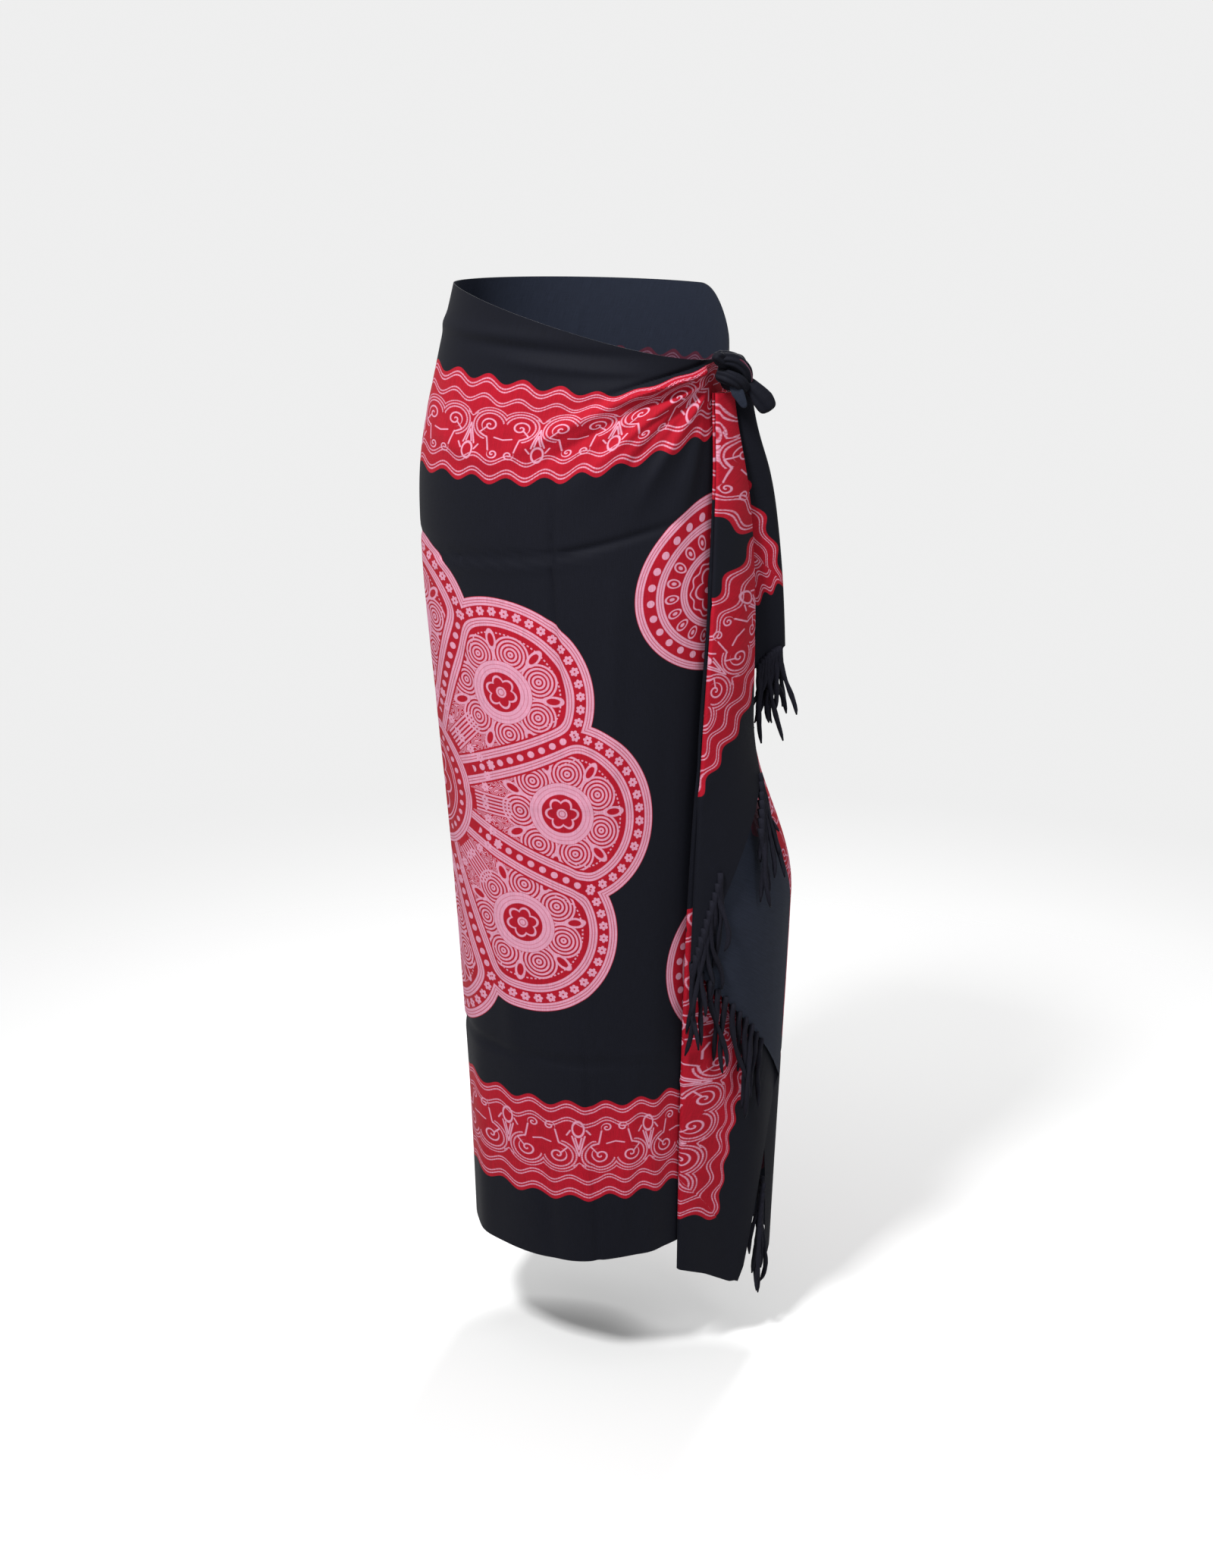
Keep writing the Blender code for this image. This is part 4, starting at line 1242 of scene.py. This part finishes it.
def strand_path(table, ray, draws):
    """Points down a strand of the fringe, from the cloth's edge at this ray."""
    column = column_at(ray, table)
    length = STRAND_LENGTH * (0.98 + 0.28 * draws.uniform(-1.0, 1.0))
    share = np.linspace(-0.04, 1.0, 15)
    reach = ray_length(ray) + length * share
    path = tail_place(tail_across(column, reach, table), reach)
    inward = tail_place(tail_across(column, reach[:1] - 0.01, table), reach[:1] - 0.01)[0]
    way = path[0] - inward
    way = way / np.linalg.norm(way)
    spread = STRAND_SPREAD * math.cos(math.radians(ray)) ** 2
    path = path + way * (np.maximum(share, 0.0) * spread)[:, None]
    swing = draws.uniform(-1.0, 1.0, 3) * np.array([0.011, 0.014, 0.004])
    curl = draws.uniform(0.0, 2.0 * math.pi)
    bend = np.sin(share * draws.uniform(2.0, 5.5) + curl) - math.sin(curl)
    return path + bend[:, None] * swing * np.maximum(share, 0.0)[:, None]


def add_tube(vertices, faces, path, radii, sides, twist):
    """A closed twisted tube along a path."""
    tangents = np.gradient(path, axis=0)
    tangents = tangents / np.linalg.norm(tangents, axis=-1, keepdims=True)
    side = np.cross(tangents, (0.0, 1.0, 0.1))
    side = side / np.linalg.norm(side, axis=-1, keepdims=True)
    other = np.cross(tangents, side)
    first = len(vertices)
    for k, point in enumerate(path):
        for a in range(sides):
            angle = 2.0 * math.pi * a / sides
            ridge = 1.0 + 0.22 * math.cos(2.0 * angle - twist * k)
            spoke = side[k] * math.cos(angle) + other[k] * math.sin(angle)
            vertices.append(point + spoke * radii[k] * ridge)
    for k in range(len(path) - 1):
        for a in range(sides):
            b = (a + 1) % sides
            low = first + k * sides
            faces.append([low + a, low + b, low + sides + b, low + sides + a])
    faces.append([first + a for a in range(sides - 1, -1, -1)])
    faces.append([first + (len(path) - 1) * sides + a for a in range(sides)])


def make_fringe(name, table, seed, material):
    """Twisted strands along a short edge of the cloth."""
    draws = np.random.RandomState(seed)
    vertices = []
    faces = []
    to_end = 0.5 * CLOTH_LENGTH - GATHER_S
    t = CLOTH_HEIGHT - 0.5 * FRINGE_STEP
    last_ray = table[-1][0]
    while t > 0.0:
        ray = math.degrees(math.atan2(to_end, t - GATHER_T))
        t -= FRINGE_STEP
        if ray < FRINGE_FROM or ray > last_ray:
            continue
        if any(low < ray < high for low, high in HIDDEN_RAYS):
            continue
        path = strand_path(table, ray, draws)
        share = np.linspace(0.0, 1.0, len(path))
        swell = sum(size * np.exp(-(((share - middle) / width) ** 2)) for middle, width, size in STRAND_KNOTS)
        radii = STRAND_RADIUS * (1.0 - 0.38 * share) * (1.0 + swell)
        radii[-1] = 0.45 * radii[-1]
        add_tube(vertices, faces, path, radii, 8, 1.1)
    return mesh_object(name, vertices, faces, [material])


def view_axes():
    """The camera's right, the way out to the camera, and up."""
    right = np.array([math.cos(VIEW_AZIMUTH), math.sin(VIEW_AZIMUTH), 0.0])
    out = np.array([math.sin(VIEW_AZIMUTH), -math.cos(VIEW_AZIMUTH), 0.0])
    return right, out, np.array([0.0, 0.0, 1.0])


def roll_grid(row):
    """Points round a roll of cloth, ring by ring: a flattened tube with pleats along it."""
    _, _, route, widths, thicknesses, pleats, depth, twist = row
    route = np.array(route)
    places = np.linspace(0.0, 1.0, len(route))
    share = np.linspace(0.0, 1.0, ROLL_RINGS)
    path = np.stack([smooth_table(share, list(zip(places, route[:, k])), 1) for k in range(3)], axis=-1)
    width = np.interp(share, np.linspace(0.0, 1.0, len(widths)), widths)
    thick = np.interp(share, np.linspace(0.0, 1.0, len(thicknesses)), thicknesses)
    close = np.sqrt(np.clip(1.0 - np.abs(2.0 * share - 1.0) ** 9, 0.0004, 1.0))
    tangent = np.gradient(path, axis=0)
    tangent = tangent / np.linalg.norm(tangent, axis=-1, keepdims=True)
    facing = np.array([0.0, 1.0, 0.0])
    side = np.cross(tangent, facing)
    side = side / np.linalg.norm(side, axis=-1, keepdims=True)
    front = np.cross(side, tangent)
    angle = 2.0 * math.pi * np.arange(ROLL_SIDES) / ROLL_SIDES
    turn = angle[None, :] + twist * share[:, None]
    crease = 1.0 - depth * np.abs(np.cos(0.5 * pleats * turn)) ** 3
    around = side[:, None, :] * (width * close)[:, None, None] * np.cos(angle)[None, :, None]
    around = around + front[:, None, :] * (thick * close)[:, None, None] * np.sin(angle)[None, :, None]
    return path[:, None, :] + around * crease[..., None]


def make_knot(name, materials):
    """The tied bunch: rolls of cloth wound over each other, and the ends that stick out of them."""
    vertices = []
    faces = []
    kinds = []
    places = []
    middle = figure_point(KNOT_TURN, KNOT_Z, KNOT_OUT)
    for row in KNOT_ROLLS:
        first = len(vertices)
        vertices += list((roll_grid(row) @ np.stack(view_axes()) + middle).reshape(-1, 3))
        start_s, start_t = row[1]
        for k in range(ROLL_RINGS):
            for a in range(ROLL_SIDES):
                places.append((start_s + 0.0006 * k, start_t + 0.0009 * min(a, ROLL_SIDES - a)))
        for k in range(ROLL_RINGS - 1):
            for a in range(ROLL_SIDES):
                b = (a + 1) % ROLL_SIDES
                low = first + k * ROLL_SIDES
                faces.append([low + a, low + ROLL_SIDES + a, low + ROLL_SIDES + b, low + b])
        last = first + (ROLL_RINGS - 1) * ROLL_SIDES
        faces.append([first + a for a in range(ROLL_SIDES)])
        faces.append([last + a for a in range(ROLL_SIDES - 1, -1, -1)])
        kinds += [row[0]] * (len(faces) - len(kinds))
    return mesh_object(name, vertices, faces, materials, kinds, places)


def look_rotation(direction):
    """Rotation of a lamp or camera that looks along a direction, with the top up."""
    flat = math.hypot(direction[0], direction[1])
    tilt = math.atan2(flat, -direction[2])
    heading = math.atan2(-direction[0], direction[1])
    return (tilt, 0.0, heading)


def make_camera():
    """The camera at the photograph's viewing angle."""
    right, out, up = view_axes()
    data = bpy.data.cameras.new("camera")
    data.lens = LENS
    data.sensor_width = 36.0
    data.sensor_fit = "AUTO"
    camera = bpy.data.objects.new("camera", data)
    place = CAMERA_DISTANCE * out + CAMERA_Z * up + AIM_RIGHT * right
    camera.location = place
    camera.rotation_euler = look_rotation(AIM_RIGHT * right + AIM_Z * up - place)
    bpy.context.scene.collection.objects.link(camera)
    bpy.context.scene.camera = camera


def make_lamps():
    """The soft lamps, each aimed at a point on the axis."""
    for name, power, size, place, aim_z in LAMPS:
        data = bpy.data.lights.new(name, "AREA")
        data.energy = power
        data.size = size
        lamp = bpy.data.objects.new(name, data)
        lamp.location = place
        lamp.rotation_euler = look_rotation(np.array((0.0, 0.0, aim_z)) - np.array(place))
        bpy.context.scene.collection.objects.link(lamp)


def floor_material():
    """Pale matt paint that fades into the surroundings with the distance."""
    material, tree, shader = new_material("floor_paint")
    shader.inputs["Base Color"].default_value = (0.42, 0.42, 0.42, 1.0)
    shader.inputs["Roughness"].default_value = 0.95
    shader.inputs["Specular IOR Level"].default_value = 0.0
    split = tree.nodes.new("ShaderNodeSeparateXYZ")
    tree.links.new(tree.nodes.new("ShaderNodeTexCoord").outputs["Object"], split.inputs[0])
    away = hypot(Formula(tree, split.outputs[0]), Formula(tree, split.outputs[1])) - FLOOR_NEAR
    fade = away.node("DIVIDE", away, FLOOR_FAR - FLOOR_NEAR, clamp=True)
    clear = tree.nodes.new("ShaderNodeBsdfTransparent")
    mix = tree.nodes.new("ShaderNodeMixShader")
    tree.links.new(fade.socket, mix.inputs[0])
    tree.links.new(shader.outputs[0], mix.inputs[1])
    tree.links.new(clear.outputs[0], mix.inputs[2])
    tree.links.new(mix.outputs[0], tree.nodes["Material Output"].inputs["Surface"])
    return material


def make_stage():
    """Pale floor, pale surroundings and soft studio light."""
    corners = [(x * FLOOR_REACH, y * FLOOR_REACH, FLOOR_Z) for x, y in ((-1, -1), (1, -1), (1, 1), (-1, 1))]
    floor = mesh_object("floor", corners, [[0, 1, 2, 3]], [floor_material()])
    world = bpy.data.worlds.new("studio")
    world.use_nodes = True
    sky = world.node_tree.nodes["Background"]
    sky.inputs["Color"].default_value = (1.0, 1.0, 1.0, 1.0)
    sky.inputs["Strength"].default_value = SKY_STRENGTH
    bpy.context.scene.world = world
    bpy.context.scene.view_settings.view_transform = "Standard"
    make_lamps()


def finish_piece(piece, node):
    """The piece stands for its solid: it hangs from the root body, and the solid is hidden."""
    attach(piece, "root")
    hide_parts(node)


def main():
    """Dress the sarong."""
    make_camera()
    group = print_group()
    printed = cloth_material("batik_printed_side", group, GROUND, RED, PINK, PRINTED_WEAR)
    wrong = cloth_material("batik_wrong_side", group, GROUND_BACK, RED_BACK, PINK_BACK, WRONG_WEAR)
    cloth = (printed, wrong)
    wrap_front = make_wrap("wrap_front_cloth", "front", WRAP_FRONT_COLUMNS, cloth)
    wrap_back = make_wrap("wrap_back_cloth", "back", WRAP_BACK_COLUMNS, cloth)
    tail_front = make_tail("tail_front_cloth", FRONT_TAIL, 8, 5, 1.0, cloth)
    tail_back = make_tail("tail_back_cloth", BACK_TAIL, 12, 6, -1.0, cloth)
    yarn = yarn_material()
    fringe_front = make_fringe("fringe_front_yarn", FRONT_TAIL, 5, yarn)
    fringe_back = make_fringe("fringe_back_yarn", BACK_TAIL, 11, yarn)
    knot = make_knot("knot_cloth", cloth)
    for piece, node in ((wrap_front, "wrap_front"), (wrap_back, "wrap_back"), (tail_front, "tail_front"),
                        (tail_back, "tail_back"), (knot, "knot")):
        finish_piece(piece, node)
    finish_piece(fringe_front, "fringe_front")
    finish_piece(fringe_back, "fringe_back")
    make_stage()


main()
